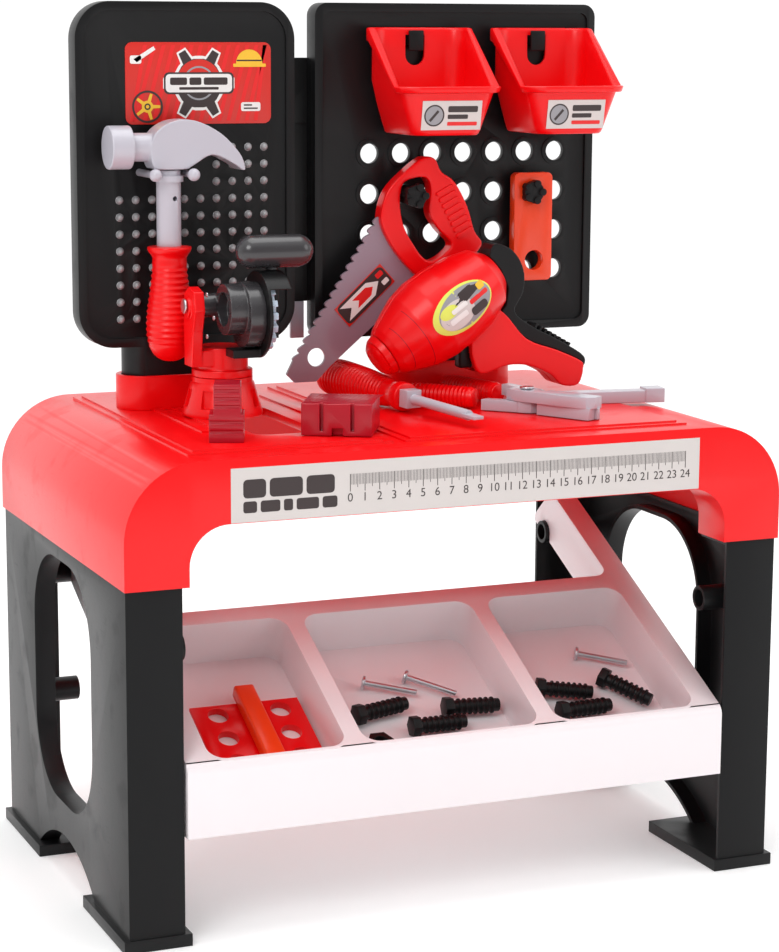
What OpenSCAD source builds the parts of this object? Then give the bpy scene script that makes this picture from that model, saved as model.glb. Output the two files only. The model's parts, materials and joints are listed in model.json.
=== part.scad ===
// Toy workbench: a hollow moulded worktop on two channel side frames, a tilted
// three-compartment tray, two tool boards, two lift-off bins and a set of play tools.
// Millimetres, +Z up, front of the bench towards -Y, origin on the floor under its middle.

/* [Worktop] */
// Overall width of the worktop
bench_w = 462; // [440:1:560]
// Overall depth of the worktop
bench_d = 298; // [285:1:360]
// Height of the flat deck above the floor
top_z = 311; // [300:1:380]
// Height of the end walls, from the leg joint up to the deck
end_h = 79; // [70:1:95]
// Wall thickness of the moulded worktop
shell = 3; // [2:0.25:4]
// Radius of the rounded shoulders at the two ends
shoulder_r = 50; // [30:1:60]
// Depth of the front apron between the legs
apron_h = 41; // [36:1:48]
// Radius of the corner where the apron turns down to a leg
knee_r = 26; // [10:1:34]
// Height of each of the two steps that frame the deck panels
panel_step = 1.2; // [0.8:0.1:2]

/* [Legs] */
// Width of a post seen from the front
post_w = 38; // [30:1:46]
// Wall thickness of the side frames
leg_wall = 3; // [2:0.25:4]
// Height of the oval opening in a side frame
window_h = 168; // [120:1:176]
// Width of the oval opening in a side frame
window_w = 138; // [90:1:150]
// Thickness of the foot plates
foot_t = 8; // [5:0.5:12]
// How far a foot plate stands out of its post
foot_lip = 4; // [2:0.5:7]

/* [Tray] */
// Diameter of the hollow pegs that carry the tray
peg_d = 17; // [13:0.5:21]
// Height of the front pegs
peg_z = 101; // [92:1:112]
// Distance of the pegs from the front and rear faces of the bench
peg_inset = 27; // [22:1:34]
// Slope of the tray
tray_tilt = 25.6; // [22:0.2:29]
// Depth of the compartments below the rim
bin_depth = 34; // [26:1:38]
// Depth of the side walls below the rim
skirt_h = 55; // [48:1:62]
// Wall thickness of the tray
tray_wall = 2.5; // [2:0.25:3.5]

/* [Boards] */
// Height of the boards' lower edge above the deck
board_gap = 46; // [40:1:60]
// Height of both boards
board_h = 231.5; // [200:1:270]
// Width of the studded left board
left_w = 155; // [140:1:190]
// Width of the perforated right board
right_w = 215; // [200:1:250]
// Thickness of a board, rim included
board_t = 16; // [12:1:20]
// Diameter of the holes in the right board
hole_d = 13.8; // [11:0.1:15]
// Distance between neighbouring holes across the board
hole_pitch = 24; // [22:0.5:27]
// Distance between neighbouring studs
stud_pitch = 11.5; // [9:0.25:13]

/* [Bins] */
// Width of a bin across its rim
bin_w = 80; // [66:1:88]
// Distance between the two bins
bin_pitch = 94; // [92:1:110]
// Height of a bin at its back
bin_h = 72; // [60:1:84]

/* [Tools] */
// Diameter of the toothed saw disc
disc_d = 50; // [42:1:54]
// Length of the hammer's shaft between head and handle
shaft_len = 40; // [32:1:50]
// Diameter of the hammer's shaft
shaft_d = 16.5; // [13:0.5:19]
// Diameter of the threaded toy bolts
bolt_d = 9; // [7:0.5:10]
// Length of the drill trigger's travel
trigger_travel = 4; // [2:0.5:5]

/* [Hidden] */
$fn = 48;
gap = 0.3;
run = 0.05;
tiny = 0.02;

// worktop
joint_z = top_z - end_h;
half_w = bench_w/2;
half_d = bench_d/2;
deck_z = top_z + 2*panel_step;
left_panel = [-184, -46];
right_panel = [-37, 168];
panel_front = -half_d + 18;
panel_back = half_d - 22;
slot_x = [-122, -77];
deck_ribs = [-152, -139, -62];
rib_w = 6;
slot_y = [-85, 30];
boss_d = 36;
boss_h = 26;
boss_y = 58;
post_len = 87;
post_depth = 30;
socket_floor = deck_z + 2.6;
leg_boss_y = half_d - 20;
leg_boss_x = half_w - post_w/2 - 1;
knee_depth = 35;

// legs
leg_out = half_w - 1.2;
leg_face = half_d - 2.6;
post_in = half_w - post_w;
peg_y = half_d - peg_inset;
peg_tip = post_in - 7;
hook_drop = 27;
peg_z_rear = peg_z + 2*peg_y*tan(tray_tilt) - hook_drop/cos(tray_tilt);
window_z = 138;
screw_d = 4;

// tray, in its own frame: u up the slope from the front peg, w square to it
tray_half = post_in - 1.6;
rim_w = 25.6;
pocket_u = [-12, 121];
floor_w = rim_w - bin_depth;
divider_x = [-75, 63];
divider_t = 12;
rim_t = 17;
arm_end_u = 2*peg_y/cos(tray_tilt) - hook_drop*tan(tray_tilt) + 12;
skirt_w = rim_w - skirt_h;
tray_front = -half_d + 0.2;
tray_low = peg_z - 31;
nose_r = 8;
frame_back = pocket_u[1] + 14;

// boards
board_z = top_z + board_gap;
board_y = 43.5;
face_y = 46;
board_back = board_y + board_t;
left_x = -124.5;
right_x = 75.6;
hole_x0 = 9.4;
hole_z = board_z + 43.5;
hole_row = 28.2;
stud_cols = 10;
stud_rows = 11;
rim = 6;

// bins
bin_x = 41.5;
bin_z = board_z + 143;
bin_back = face_y - 3.4;
bin_front = -20;
hook_w = 11;

// tools
hammer_x = -144.5;
hammer_y = 24;
hammer_z = board_z + 118;
hang_x = hole_x0 + hole_pitch;
hang_z = hole_z + 2*hole_row;
strip_x = hole_x0 + 5*hole_pitch;
saw_y = 30;
strip_y = 33;
stand_x = -115;
stand_y = 2;
head_x = -95;
head_y = -24;
head_z = deck_z + 71;
pivot_y = -6;
pivot_z = head_z + 5;
cheek_x = -141;
drill_y = -8;
drill_x = 18;
drill_z = deck_z + 50.2;
barrel_tilt = 34;
driver_x = -14;
driver_y = 66;
driver_turn = -78;
driver_lift = 14.8;
driver_tilt = 2.5;
trigger_x = drill_x + 36;
trigger_len = 10;
spring_len = 12 + trigger_travel;
block_peg = [-75, -88.5];
block_peg_d = 8;
plier_x = 84;
plier_y = -58;
plier_turn = -61;
wrench_x = 196;
wrench_y = -45;
wrench_turn = 171;

// shapes used more than once
function mix(a, b, t) = a + (b - a)*t;
function bend(a, b, c, d, t) = 0.5*(2*b + (c - a)*t
    + (2*a - 5*b + 4*c - d)*t*t + (3*b - a - 3*c + d)*t*t*t);
function smooth(p, n = 4) = [for (i = [0:len(p) - 1], k = [0:n - 1])
    bend(p[(i + len(p) - 1) % len(p)], p[i], p[(i + 1) % len(p)],
        p[(i + 2) % len(p)], k/n)];

module rrect(w, h, r) {
    square([w - 2*r, h], center = true);
    square([w, h - 2*r], center = true);
    for (sx = [-1, 1], sy = [-1, 1])
        translate([sx*(w/2 - r), sy*(h/2 - r)])
            circle(r);
}

// a flat shape drawn as it is seen from the front, from y to y + t
module upright(y, t) {
    translate([0, y + t, 0])
        rotate([90, 0, 0])
            linear_extrude(t)
                children();
}

// a flat shape drawn as it is seen from the right side (y, z), from x to x + t
module sideways(x, t) {
    translate([x, 0, 0])
        rotate([90, 0, 90])
            linear_extrude(t)
                children();
}

module box(x, y, z) {
    translate([x[0], y[0], z[0]])
        cube([x[1] - x[0], y[1] - y[0], z[1] - z[0]]);
}

module rod_x(x, y, z, r) {
    translate([x[0], y, z])
        rotate([0, 90, 0])
            cylinder(h = x[1] - x[0], r = r);
}

module rod_y(x, y, z, r) {
    translate([x, y[1], z])
        rotate([90, 0, 0])
            cylinder(h = y[1] - y[0], r = r);
}

module mirror_y() {
    children();
    mirror([0, 1, 0])
        children();
}

// ---- worktop ----

module end_outline(inset) {
    w = bench_w - 2*inset;
    r = shoulder_r - inset;
    h = end_h - inset;
    low = inset > 0 ? 1 : 0;
    intersection() {
        translate([-w/2, joint_z - low])
            square([w, h + low]);
        union() {
            translate([-w/2, joint_z - low])
                square([w, h - r + low]);
            translate([-w/2 + r, joint_z - low])
                square([w - 2*r, h + low]);
            for (s = [-1, 1])
                translate([s*(w/2 - r), joint_z + h - r])
                    circle(r);
        }
    }
}

module knee_outline(grow) {
    half = post_in - 4 + grow;
    r = knee_r + grow;
    top = top_z - apron_h + grow;
    translate([-half, joint_z - 1])
        square([2*half, top - r - joint_z + 1]);
    translate([-half + r, joint_z - 1])
        square([2*(half - r), top - joint_z + 1]);
    for (s = [-1, 1])
        translate([s*(half - r), top - r])
            circle(r);
}

module panel(x) {
    for (i = [0, 1])
        box([x[0] + 5*i, x[1] - 5*i], [panel_front + 5*i, panel_back - 5*i],
            [top_z - 1, top_z + panel_step*(i + 1)]);
}

module board_socket(x) {
    translate([x, boss_y, deck_z + tiny])
        linear_extrude(boss_h - 2*panel_step)
            rrect(post_len + 8, boss_d, boss_d/2 - tiny);
}

module socket_cavity(x) {
    translate([x, boss_y, socket_floor])
        linear_extrude(boss_h + 1)
            rrect(post_len + 2*gap, post_depth + 2*gap, post_depth/2 + gap - tiny);
}

module worktop() {
    color("red")
    difference() {
        union() {
            difference() {
                upright(-half_d, bench_d)
                    end_outline(0);
                upright(-half_d + shell, bench_d - 2*shell)
                    end_outline(shell);
                upright(-half_d - 1, bench_d + 2)
                    knee_outline(0);
            }
            difference() {
                upright(-half_d, knee_depth)
                    difference() {
                        intersection() {
                            knee_outline(shell);
                            end_outline(0);
                        }
                        knee_outline(0);
                    }
                box([-post_in + knee_r + 4, post_in - knee_r - 4],
                    [-half_d - 1, half_d + 1], [joint_z - 1, top_z]);
            }
            panel(left_panel);
            panel(right_panel);
            intersection() {
                for (sx = [-1, 1], sy = [-1, 1])
                    translate([sx*leg_boss_x, sy*leg_boss_y, joint_z + gap])
                        cylinder(h = end_h, d = 11);
                upright(-half_d, bench_d)
                    end_outline(0);
            }
            for (x = deck_ribs)
                box([x, x + rib_w], [x > slot_x[1] ? -20 : -64,
                    x > slot_x[1] ? boss_y + boss_d/2 : boss_y - boss_d/2 - 1], [top_z, deck_z + panel_step]);
        }
        translate([mix(slot_x[0], slot_x[1], 0.5), mix(slot_y[0], slot_y[1], 0.5), top_z - 10])
            linear_extrude(20)
                rrect(slot_x[1] - slot_x[0], slot_y[1] - slot_y[0], 10);
        for (sx = [-1, 1], sy = [-1, 1])
            translate([sx*leg_boss_x, sy*leg_boss_y, joint_z - 1])
                cylinder(h = 22, d = screw_d - 0.4);
        translate([stand_x, stand_y, top_z - 20])
            cylinder(h = 40, d = 12);
        translate([block_peg[0], block_peg[1], top_z - 20])
            cylinder(h = 40, d = block_peg_d + 2*run);
    }
}

module board_sockets() {
    color("red")
    for (x = [left_x, right_x])
        difference() {
            board_socket(x);
            socket_cavity(x);
        }
}

module ruler_label() {
    color("lightgray")
    box([-162, 168], [-half_d - 0.4, -half_d], [top_z - apron_h + 0.4, top_z - 6.2]);
}

// ---- legs ----

module side_outline() {
    difference() {
        translate([-leg_face, foot_t])
            square([2*leg_face, joint_z - foot_t]);
        side_window(0);
        side_arch(0);
    }
}

module side_window(grow) {
    translate([1.5, window_z])
        rrect(window_w + 2*grow, window_h + 2*grow, 52 + grow);
}

module side_arch(grow) {
    span = 67;
    rise = 23;
    r = (span*span + rise*rise)/(2*rise);
    intersection() {
        translate([0, foot_t + rise - r])
            circle(r + grow, $fn = 96);
        translate([-span - 20, foot_t - 1])
            square([2*span + 40, rise + 20]);
    }
}

module right_side_frame() {
    difference() {
        union() {
            sideways(leg_out - leg_wall, leg_wall)
                side_outline();
            sideways(leg_out - 14, 14)
                difference() {
                    side_window(leg_wall);
                    side_window(0);
                }
            sideways(leg_out - 14, 14)
                intersection() {
                    difference() {
                        side_arch(leg_wall);
                        side_arch(0);
                    }
                    translate([-leg_face, foot_t])
                        square([2*leg_face, joint_z]);
                }
            mirror_y() {
                box([post_in, leg_out], [leg_face - leg_wall, leg_face], [foot_t, joint_z]);
                box([post_in, leg_out], [leg_face - knee_depth, leg_face], [joint_z - 3, joint_z]);
                for (z = [60, 120, 180])
                    box([leg_out - 20, leg_out], [leg_face - 20, leg_face], [z, z + 2]);
                box([post_in - foot_lip, leg_out + foot_lip],
                    [leg_face - 92, leg_face + 2.6], [0, foot_t]);
            }
            for (p = [[-peg_y, peg_z], [peg_y, peg_z], [-peg_y, peg_z_rear], [peg_y, peg_z_rear]])
                rod_x([peg_tip, leg_out - 1], p[0], p[1], peg_d/2);
        }
        for (p = [[-peg_y, peg_z], [peg_y, peg_z], [-peg_y, peg_z_rear], [peg_y, peg_z_rear]])
            rod_x([peg_tip - 1, leg_out - leg_wall], p[0], p[1], peg_d/2 - 2.5);
        for (s = [-1, 1])
            translate([leg_boss_x, s*leg_boss_y, joint_z - 5])
                cylinder(h = 10, d = screw_d + 1);
    }
}

module right_leg() {
    color([0.12, 0.12, 0.13])
    right_side_frame();
}

module left_leg() {
    color([0.12, 0.12, 0.13])
    mirror([1, 0, 0])
        right_side_frame();
}

module pan_screw(l, d) {
    cylinder(h = l, d = d);
    translate([0, 0, -2.4])
        cylinder(h = 2.4, d = 2*d);
}

module leg_screws() {
    color("silver")
    for (sx = [-1, 1], sy = [-1, 1])
        translate([sx*leg_boss_x, sy*leg_boss_y, joint_z - 3 - tiny])
            pan_screw(18, screw_d - 0.5);
}

// ---- tray ----

// moves children from the tray's own frame (x, u, w) to the bench
module on_tray() {
    translate([0, -peg_y, peg_z])
        rotate([tray_tilt, 0, 0])
            children();
}

function tray_y(u, w) = -peg_y + u*cos(tray_tilt) - w*sin(tray_tilt);
function tray_z(u, w) = peg_z + u*sin(tray_tilt) + w*cos(tray_tilt);

// pockets between the two side rims, as [left, right] pairs
pockets = [[-tray_half + rim_t, divider_x[0] - divider_t/2],
    [divider_x[0] + divider_t/2, divider_x[1] - divider_t/2],
    [divider_x[1] + divider_t/2, tray_half - rim_t]];

// the tray seen from the right, as [y, z] points; inset gives its inner face
function nose_middle() = let(u = (tray_front + nose_r + peg_y + (rim_w - nose_r)*sin(tray_tilt))/cos(tray_tilt))
    [tray_y(u, rim_w - nose_r), tray_z(u, rim_w - nose_r)];
function nose_arc(r) = [for (i = [0:8])
    let(a = mix(180, 90 + tray_tilt, i/8))
        nose_middle() + r*[cos(a), sin(a)]];
function arm_end() = [for (p = [[arm_end_u, rim_w], [arm_end_u - 1, -4], [arm_end_u + 8, -24],
    [arm_end_u + 7, skirt_w], [(tray_low - peg_z - skirt_w*cos(tray_tilt))/sin(tray_tilt), skirt_w]])
        [tray_y(p[0], p[1]), tray_z(p[0], p[1])]];
function tray_outline() = concat([[tray_front, tray_low]], nose_arc(nose_r), arm_end());
function tray_inside() = concat([[tray_front + tray_wall, tray_low - 1]], nose_arc(nose_r - tray_wall),
    [for (p = [[2*bench_d, rim_w - tray_wall], [2*bench_d, -bench_d], [0, -bench_d]])
        [tray_y(p[0], p[1]), tray_z(p[0], p[1])]]);

module slab(x, u, w, r) {
    translate([mix(x[0], x[1], 0.5), mix(u[0], u[1], 0.5), w[0]])
        linear_extrude(w[1] - w[0])
            rrect(x[1] - x[0], u[1] - u[0], r);
}

module pocket(p, grow, lift) {
    slab([p[0] - grow, p[1] + grow], [pocket_u[0] - grow, pocket_u[1] + grow],
        [floor_w - grow, rim_w + lift], 12 + grow);
}

module tray() {
    color([0.95, 0.93, 0.94])
    difference() {
        union() {
            for (x = [-tray_half, tray_half - tray_wall])
                sideways(x, tray_wall)
                    polygon(tray_outline());
            difference() {
                sideways(-tray_half, 2*tray_half)
                    difference() {
                        polygon(tray_outline());
                        polygon(tray_inside());
                    }
                on_tray()
                    slab([-tray_half + rim_t, tray_half - rim_t],
                        [frame_back, arm_end_u + 40], [rim_w - 9, rim_w + 9], 10);
            }
            on_tray() {
                for (p = pockets)
                    pocket(p, tray_wall, 0);
                box([-tray_half + tray_wall/2, tray_half - tray_wall/2], [frame_back - tray_wall, frame_back],
                    [rim_w - 12, rim_w - tray_wall/2]);
            }
        }
        on_tray()
            for (p = pockets)
                pocket(p, 0, 30);
        rod_x([-bench_w, bench_w], -peg_y, peg_z, peg_d/2 + run);
        for (s = [-1, 1])
            translate([s*tray_half, 0, 0])
                rod_x([-10, 10], peg_y, peg_z_rear, peg_d/2 + gap);
        for (s = [-1, 1])
            translate([s*tray_half - 10, peg_y - peg_d/2 - gap, peg_z_rear - peg_d - 20])
                cube([20, peg_d + 2*gap, peg_d + 20]);
    }
}

// ---- boards ----

module left_outline(inset) {
    translate([left_x, board_z + board_h/2])
        rrect(left_w - 2*inset, board_h - 2*inset, 25 - inset);
}

module right_outline(inset) {
    translate([right_x, board_z + board_h/2]) {
        rrect(right_w - 2*inset, board_h - 2*inset, 9 - inset/2);
    }
}

module board_post(x) {
    translate([x, boss_y, socket_floor + gap])
        linear_extrude(board_z - socket_floor + 6)
            rrect(post_len, post_depth, post_depth/2 - tiny);
}

module left_board() {
    color([0.13, 0.13, 0.14])
    difference() {
        union() {
            difference() {
                upright(board_y, board_t)
                    left_outline(0);
                upright(board_y - 1, face_y - board_y + 1)
                    left_outline(rim);
                upright(face_y + 3, board_t)
                    left_outline(3);
            }
            for (c = [0:stud_cols - 1], r = [0:stud_rows - 1])
                if (r < 8 || c > 5)
                    rod_y(left_x + (c - (stud_cols - 1)/2)*stud_pitch + 4, [face_y - 2.2, face_y + 1],
                        board_z + 19 + r*stud_pitch, 2.1);
            board_post(left_x);
        }
        for (s = [-1, 1])
            rod_y(hammer_x + 13.3*s, [board_y, board_back], hammer_z, 2.5);
    }
}

module right_board() {
    color([0.13, 0.13, 0.14])
    difference() {
        union() {
            difference() {
                upright(board_y, board_t)
                    right_outline(0);
                upright(board_y - 1, face_y - board_y + 1)
                    right_outline(rim);
                upright(face_y + 3, board_t)
                    right_outline(3);
            }
            for (c = [0:6], r = [0:3])
                rod_y(hole_x0 + c*hole_pitch, [face_y - 1, face_y + 1], hole_z + r*hole_row, 10);
            board_post(right_x);
        }
        for (c = [0:6], r = [0:3])
            rod_y(hole_x0 + c*hole_pitch, [0, 90], hole_z + r*hole_row, hole_d/2);
    }
}

bridge_x = [-58, -20];
bridge_z = [board_z + 71, board_z + 148];

module board_bridge() {
    color([0.14, 0.14, 0.15])
    difference() {
        box([bridge_x[0] - 8, bridge_x[1] + 8], [board_back + tiny, board_back + 3],
            [board_z + 25, board_z + 194]);
        for (x = bridge_x, z = bridge_z)
            rod_y(x, [board_y, board_back + 9], z, 1.8);
    }
}

module bridge_clip() {
    color([0.78, 0.8, 0.82])
    box([-44, -34], [board_back + tiny, board_back + 3], [board_z - 1, board_z + 25 - tiny]);
}

module bridge_screws() {
    color("dimgray")
    for (x = bridge_x, z = bridge_z)
        translate([x, board_back + 3 + tiny, z])
            rotate([90, 0, 0])
                cylinder(h = 4, r = 1.7);
}

module board_label() {
    color("firebrick")
    upright(face_y - 0.5, 0.5)
        translate([left_x + 9.2, board_z + 177.3])
            rrect(103.5, 54.6, 5);
}

// ---- bins ----

module bin_hooks() {
    color([0.1, 0.1, 0.1])
    for (i = [0, 1]) {
        x = bin_x + i*bin_pitch;
        box([x - hook_w/2, x + hook_w/2], [bin_back - 5, face_y], [bin_z + 60, bin_z + 66.6]);
        box([x - hook_w/2, x + hook_w/2], [bin_back - 5, bin_back - 3], [bin_z + 56, bin_z + 70]);
    }
}

module bin_solid(inset) {
    foot = 25 - inset;
    lip = bin_w/2 - 4 - inset;
    hull() {
        box([-foot, foot], [bin_front + inset, bin_back - inset], [bin_z + inset, bin_z + inset + 0.1]);
        box([-lip, lip], [bin_front - 6 + inset, bin_front - 5 + inset], [bin_z + 33.9, bin_z + 34]);
        box([-lip, lip], [bin_back - inset - 0.1, bin_back - inset], [bin_z + bin_h - 2, bin_z + bin_h]);
    }
}

module bin(x) {
    difference() {
        translate([x, 0, 0])
            union() {
                bin_solid(0);
                hull() {
                    box([-bin_w/2, bin_w/2], [bin_front - 8, bin_front - 5], [bin_z + 29, bin_z + 34]);
                    box([-bin_w/2, bin_w/2], [bin_back - 3, bin_back], [bin_z + bin_h - 6, bin_z + bin_h]);
                }
            }
        translate([x, 0, 2])
            bin_solid(2.2);
        translate([x, 0, 12])
            bin_solid(2.2);
        box([x - 7.2, x + 7.2], [bin_back - 9, bin_back + 1], [bin_z + 46, bin_z + 67]);
    }
}

module left_bin() {
    color("red")
    bin(bin_x);
}

module right_bin() {
    color("red")
    bin(bin_x + bin_pitch);
}

module bin_label(x) {
    lean = atan(6/34);
    color("lightgray")
    translate([x, bin_front, bin_z])
        rotate([lean, 0, 0])
            box([-22, 22], [-0.7, -0.2], [4, 24]);
}

module left_bin_label() {
    bin_label(bin_x);
}

module right_bin_label() {
    bin_label(bin_x + bin_pitch);
}

// ---- hammer ----

module hammer_pegs() {
    color("lightgray")
    for (s = [-1, 1]) {
        rod_y(hammer_x + 13.3*s, [hammer_y - 13, face_y + 3], hammer_z, 2.4);
        translate([hammer_x + 13.3*s, hammer_y - 14, hammer_z])
            sphere(4.2);
    }
}

// outline of the cheek and claw, from the middle of the pegs
claw_outline = smooth([[-13, 5], [-15, 14], [-12, 27], [0, 35], [16, 35.5], [34, 27],
    [47, 14], [51, 5], [50, 2], [44, 6], [32, 12], [25, 12], [18, 8], [13, 5], [9, 3.5], [-9, 3.5]]);

module hammer_head() {
    color([0.8, 0.78, 0.82])
    translate([hammer_x, 0, hammer_z]) {
        upright(hammer_y - 10, 20)
            polygon(claw_outline);
        rod_x([-28, -12], hammer_y, 18, 9.5);
        rod_x([-42, -27], hammer_y, 18, 14.5);
    }
}

module hammer_shaft() {
    color([0.8, 0.78, 0.82])
    translate([hammer_x, hammer_y, hammer_z]) {
        translate([0, 0, -8 - shaft_len])
            difference() {
                cylinder(h = shaft_len + 8, d = shaft_d);
                translate([2, 0, shaft_len - 8])
                    rotate([90, 0, 0])
                        cylinder(h = 60, d = 3.4, center = true);
            }
        translate([0, 0, -5])
            cylinder(h = 4, r = 10);
        translate([0, 0, -2])
            cylinder(h = 4.6, r = 8);
    }
}

module hammer_handle() {
    color("red")
    translate([hammer_x, hammer_y, hammer_z - 8 - shaft_len - tiny])
        rotate_extrude()
            polygon([for (p = [[0, 0], [14.5, 0], [14.5, -4], [11.5, -9], [13, -24], [16, -44],
                [16.5, -56], [14.5, -68], [9, -76], [0, -78]]) p]);
}

// ---- hand saw ----

blade_outline = [[-4, -4], [-22, -14], [-86, -114], [-92, -122], [-86, -128], [-70, -128],
    [-60, -118], [8, -61], [4, -50], [0, -30]];
handle_outline = smooth([[-23, -9], [-18, 4], [-6, 16], [8, 26], [17, 25], [22, 16],
    [32, 9], [42, -8], [48, -26], [54, -35], [47, -44], [34, -54], [20, -60], [8, -59],
    [-5, -48], [-16, -34], [-23, -20]]);
finger_outline = smooth([[-8, 6], [-2, 11], [10, 12], [14, 4], [13, -12], [20, -24],
    [30, -34], [27, -40], [17, -46], [9, -44], [1, -34], [-6, -22], [-9, -8]]);

module handsaw_blade() {
    color([0.6, 0.52, 0.58])
    translate([hang_x, 0, hang_z])
        difference() {
            upright(saw_y - 1.2, 2.4)
                difference() {
                    polygon(blade_outline);
                    for (i = [0:13])
                        translate([mix(-24, -88, i/13), mix(-15, -115, i/13)])
                            rotate(57)
                                polygon([[-3.4, 2], [0, -2.6], [1.6, 2]]);
                    translate([-70, -111])
                        circle(6.5);
                    polygon(finger_outline);
                    polygon(handle_outline);
                }
        }
}

module handsaw_handle() {
    color("red")
    translate([hang_x, 0, hang_z])
        upright(saw_y - 6, 12)
            difference() {
                polygon(handle_outline);
                polygon(finger_outline);
            }
}

module handsaw_label() {
    color("white")
    translate([hang_x, 0, hang_z])
        upright(saw_y - 1.7, 0.4)
            translate([-34, -69])
                rotate(42)
                    square([46, 17], center = true);
}

module star_screw(x, y, z, back) {
    rod_y(x, [y + 4, back], z, hole_d/2 - 0.5);
    translate([x, y + 5, z])
        rotate([90, 0, 0]) {
            cylinder(h = 5, r = 7.5);
            for (i = [0:4])
                rotate(72*i)
                    translate([6.2, 0, 0])
                        cylinder(h = 6.5, r = 2.6);
        }
}

module handsaw_screw() {
    color([0.08, 0.08, 0.08])
    star_screw(hang_x, saw_y - 14, hang_z, board_back + 8);
}

// ---- strip ----

module link_strip() {
    color("orangered")
    upright(strip_y, 8)
        difference() {
            translate([strip_x + 2, hang_z - 25])
                rrect(30, 77, 4);
            translate([strip_x, hang_z])
                circle(hole_d/2 - 0.5 + run);
            translate([strip_x + 3, hang_z - 49])
                circle(7);
        }
}

module strip_screw() {
    color([0.08, 0.08, 0.08])
    star_screw(strip_x, strip_y - 6, hang_z, board_back + 8);
}

// ---- circular saw ----

module saw_stand() {
    color("red")
    translate([stand_x, stand_y, deck_z + panel_step + tiny])
        difference() {
            rotate_extrude()
                polygon([[0, 0], [27, 0], [27, 3], [21.5, 22], [20.5, 23], [20.5, 26], [0, 26]]);
            translate([0, 0, 6])
                cylinder(h = 30, r = 8 + run);
            for (i = [0:7])
                rotate(45*i)
                    box([21.5, 28], [-3.5, 3.5], [6, 18]);
        }
}

module saw_turntable() {
    base = deck_z + panel_step + 26 + tiny + gap;
    color("red")
    difference() {
        union() {
            translate([stand_x, stand_y, base - 18])
                cylinder(h = 30, r = 8);
            translate([stand_x, stand_y, base])
                cylinder(h = 5, r = 20.5);
            translate([stand_x, stand_y, base])
                cylinder(h = 20, r = 17.5);
            sideways(cheek_x, 7)
                polygon([[-12, base + 8], [4, base + 8], [5, pivot_z - 14], [3, pivot_z + 8],
                    [-6, pivot_z + 13], [-17, pivot_z + 10], [-20, pivot_z - 2], [-15, pivot_z - 16]]);
            box([cheek_x, stand_x], [-12, 4], [base + 8, base + 19]);
            rod_x([cheek_x - 2, cheek_x + 3], pivot_y, pivot_z - 1, 7);
        }
        rod_x([cheek_x - 10, cheek_x + 20], pivot_y, pivot_z, 3 + run);
    }
}

module saw_pivot_pin() {
    color("silver")
    union() {
        rod_x([cheek_x - 2 - gap, head_x - 16], pivot_y, pivot_z, 3);
        rod_x([cheek_x - 4, cheek_x - 2 - gap], pivot_y, pivot_z, 5);
    }
}

module saw_motor() {
    color([0.15, 0.15, 0.16])
    difference() {
        union() {
            rod_x([head_x - 28, head_x - 16], head_y, head_z + 4, 17);
            rod_x([head_x - 16 - tiny, head_x - 5], head_y, head_z, disc_d/2 - 3);
            rod_x([cheek_x + 7 + gap, head_x - 12], pivot_y, pivot_z, 8);
        }
        rod_x([head_x - 29, head_x - 21], head_y, head_z + 4, 11);
        rod_x([head_x - 60, head_x - 16], pivot_y, pivot_z, 3 + tiny);
        rod_x([head_x - 15, head_x], head_y, head_z, 4 + run);
    }
}

module saw_guard() {
    rim_r = disc_d/2 + 4;
    color([0.1, 0.1, 0.11])
    difference() {
        union() {
            rod_x([head_x - 5 + tiny, head_x + 12], head_y, head_z, rim_r);
            box([head_x - 24, head_x - 5 + tiny], [head_y - 9, head_y + 7],
                [head_z - rim_r + 1, head_z - disc_d/2 + 2.5]);
        }
        rod_x([head_x - 3, head_x + 9], head_y, head_z, disc_d/2 + 1);
        box([head_x - 3, head_x + 20], [head_y - 60, head_y + 2], [head_z - 60, head_z + 18]);
        box([head_x - 3, head_x + 20], [head_y - 60, head_y + 60], [head_z - 60, head_z - 17]);
        rod_x([head_x - 15, head_x + 3], head_y, head_z, 4.5);
    }
}

module saw_knob() {
    z = head_z + disc_d/2 + 16.5;
    color([0.1, 0.1, 0.11])
    union() {
        rod_x([head_x - 8, head_x + 24], head_y, z, 11);
        for (x = [head_x - 8, head_x + 24])
            translate([x, head_y, z])
                sphere(11);
        translate([head_x + 6, head_y, head_z + disc_d/2 + 4 + tiny])
            cylinder(h = 6, r = 4);
    }
}

module saw_disc() {
    color([0.75, 0.8, 0.85])
    difference() {
        rod_x([head_x - 2, head_x + 2], head_y, head_z, disc_d/2);
        for (i = [0:17])
            translate([head_x, head_y, head_z])
                rotate([20*i, 0, 0])
                    translate([-5, disc_d/2 - 3.5, 0])
                        rotate([25, 0, 0])
                            cube([10, 9, 4]);
        rod_x([head_x - 5, head_x + 5], head_y, head_z, 4 + tiny);
    }
}

module saw_arbor() {
    color("silver")
    union() {
        rod_x([head_x - 13, head_x + 6], head_y, head_z, 4);
        rod_x([head_x + 2 + tiny, head_x + 5], head_y, head_z, 7);
    }
}

// ---- blocks on the deck ----

module stepped_block() {
    color([0.72, 0.02, 0.12])
    translate([-160, -102, deck_z + tiny])
        rotate(-21)
            difference() {
                union() {
                    cube([22, 24, 18]);
                    translate([3, 0, 0])
                        cube([17, 24, 37]);
                }
                for (z = [6, 12, 22, 27, 32])
                    translate([-1, -1, z])
                        cube([24, 1.8, 2]);
            }
}

module grooved_block() {
    color([0.78, 0.03, 0.16])
    translate([-96, -97, deck_z + gap])
        rotate(-29) {
            difference() {
                cube([46, 45, 21]);
                for (x = [12, 32])
                    translate([x, -1, 3])
                        cube([2.4, 6, 19]);
                translate([20, -1, -1])
                    cube([7, 5, 6]);
            }
        }
    color([0.78, 0.03, 0.16])
    translate([block_peg[0], block_peg[1], top_z - shell - 1])
        cylinder(h = shell + 2*panel_step + 2, d = block_peg_d);
}

// ---- drill ----

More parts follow.
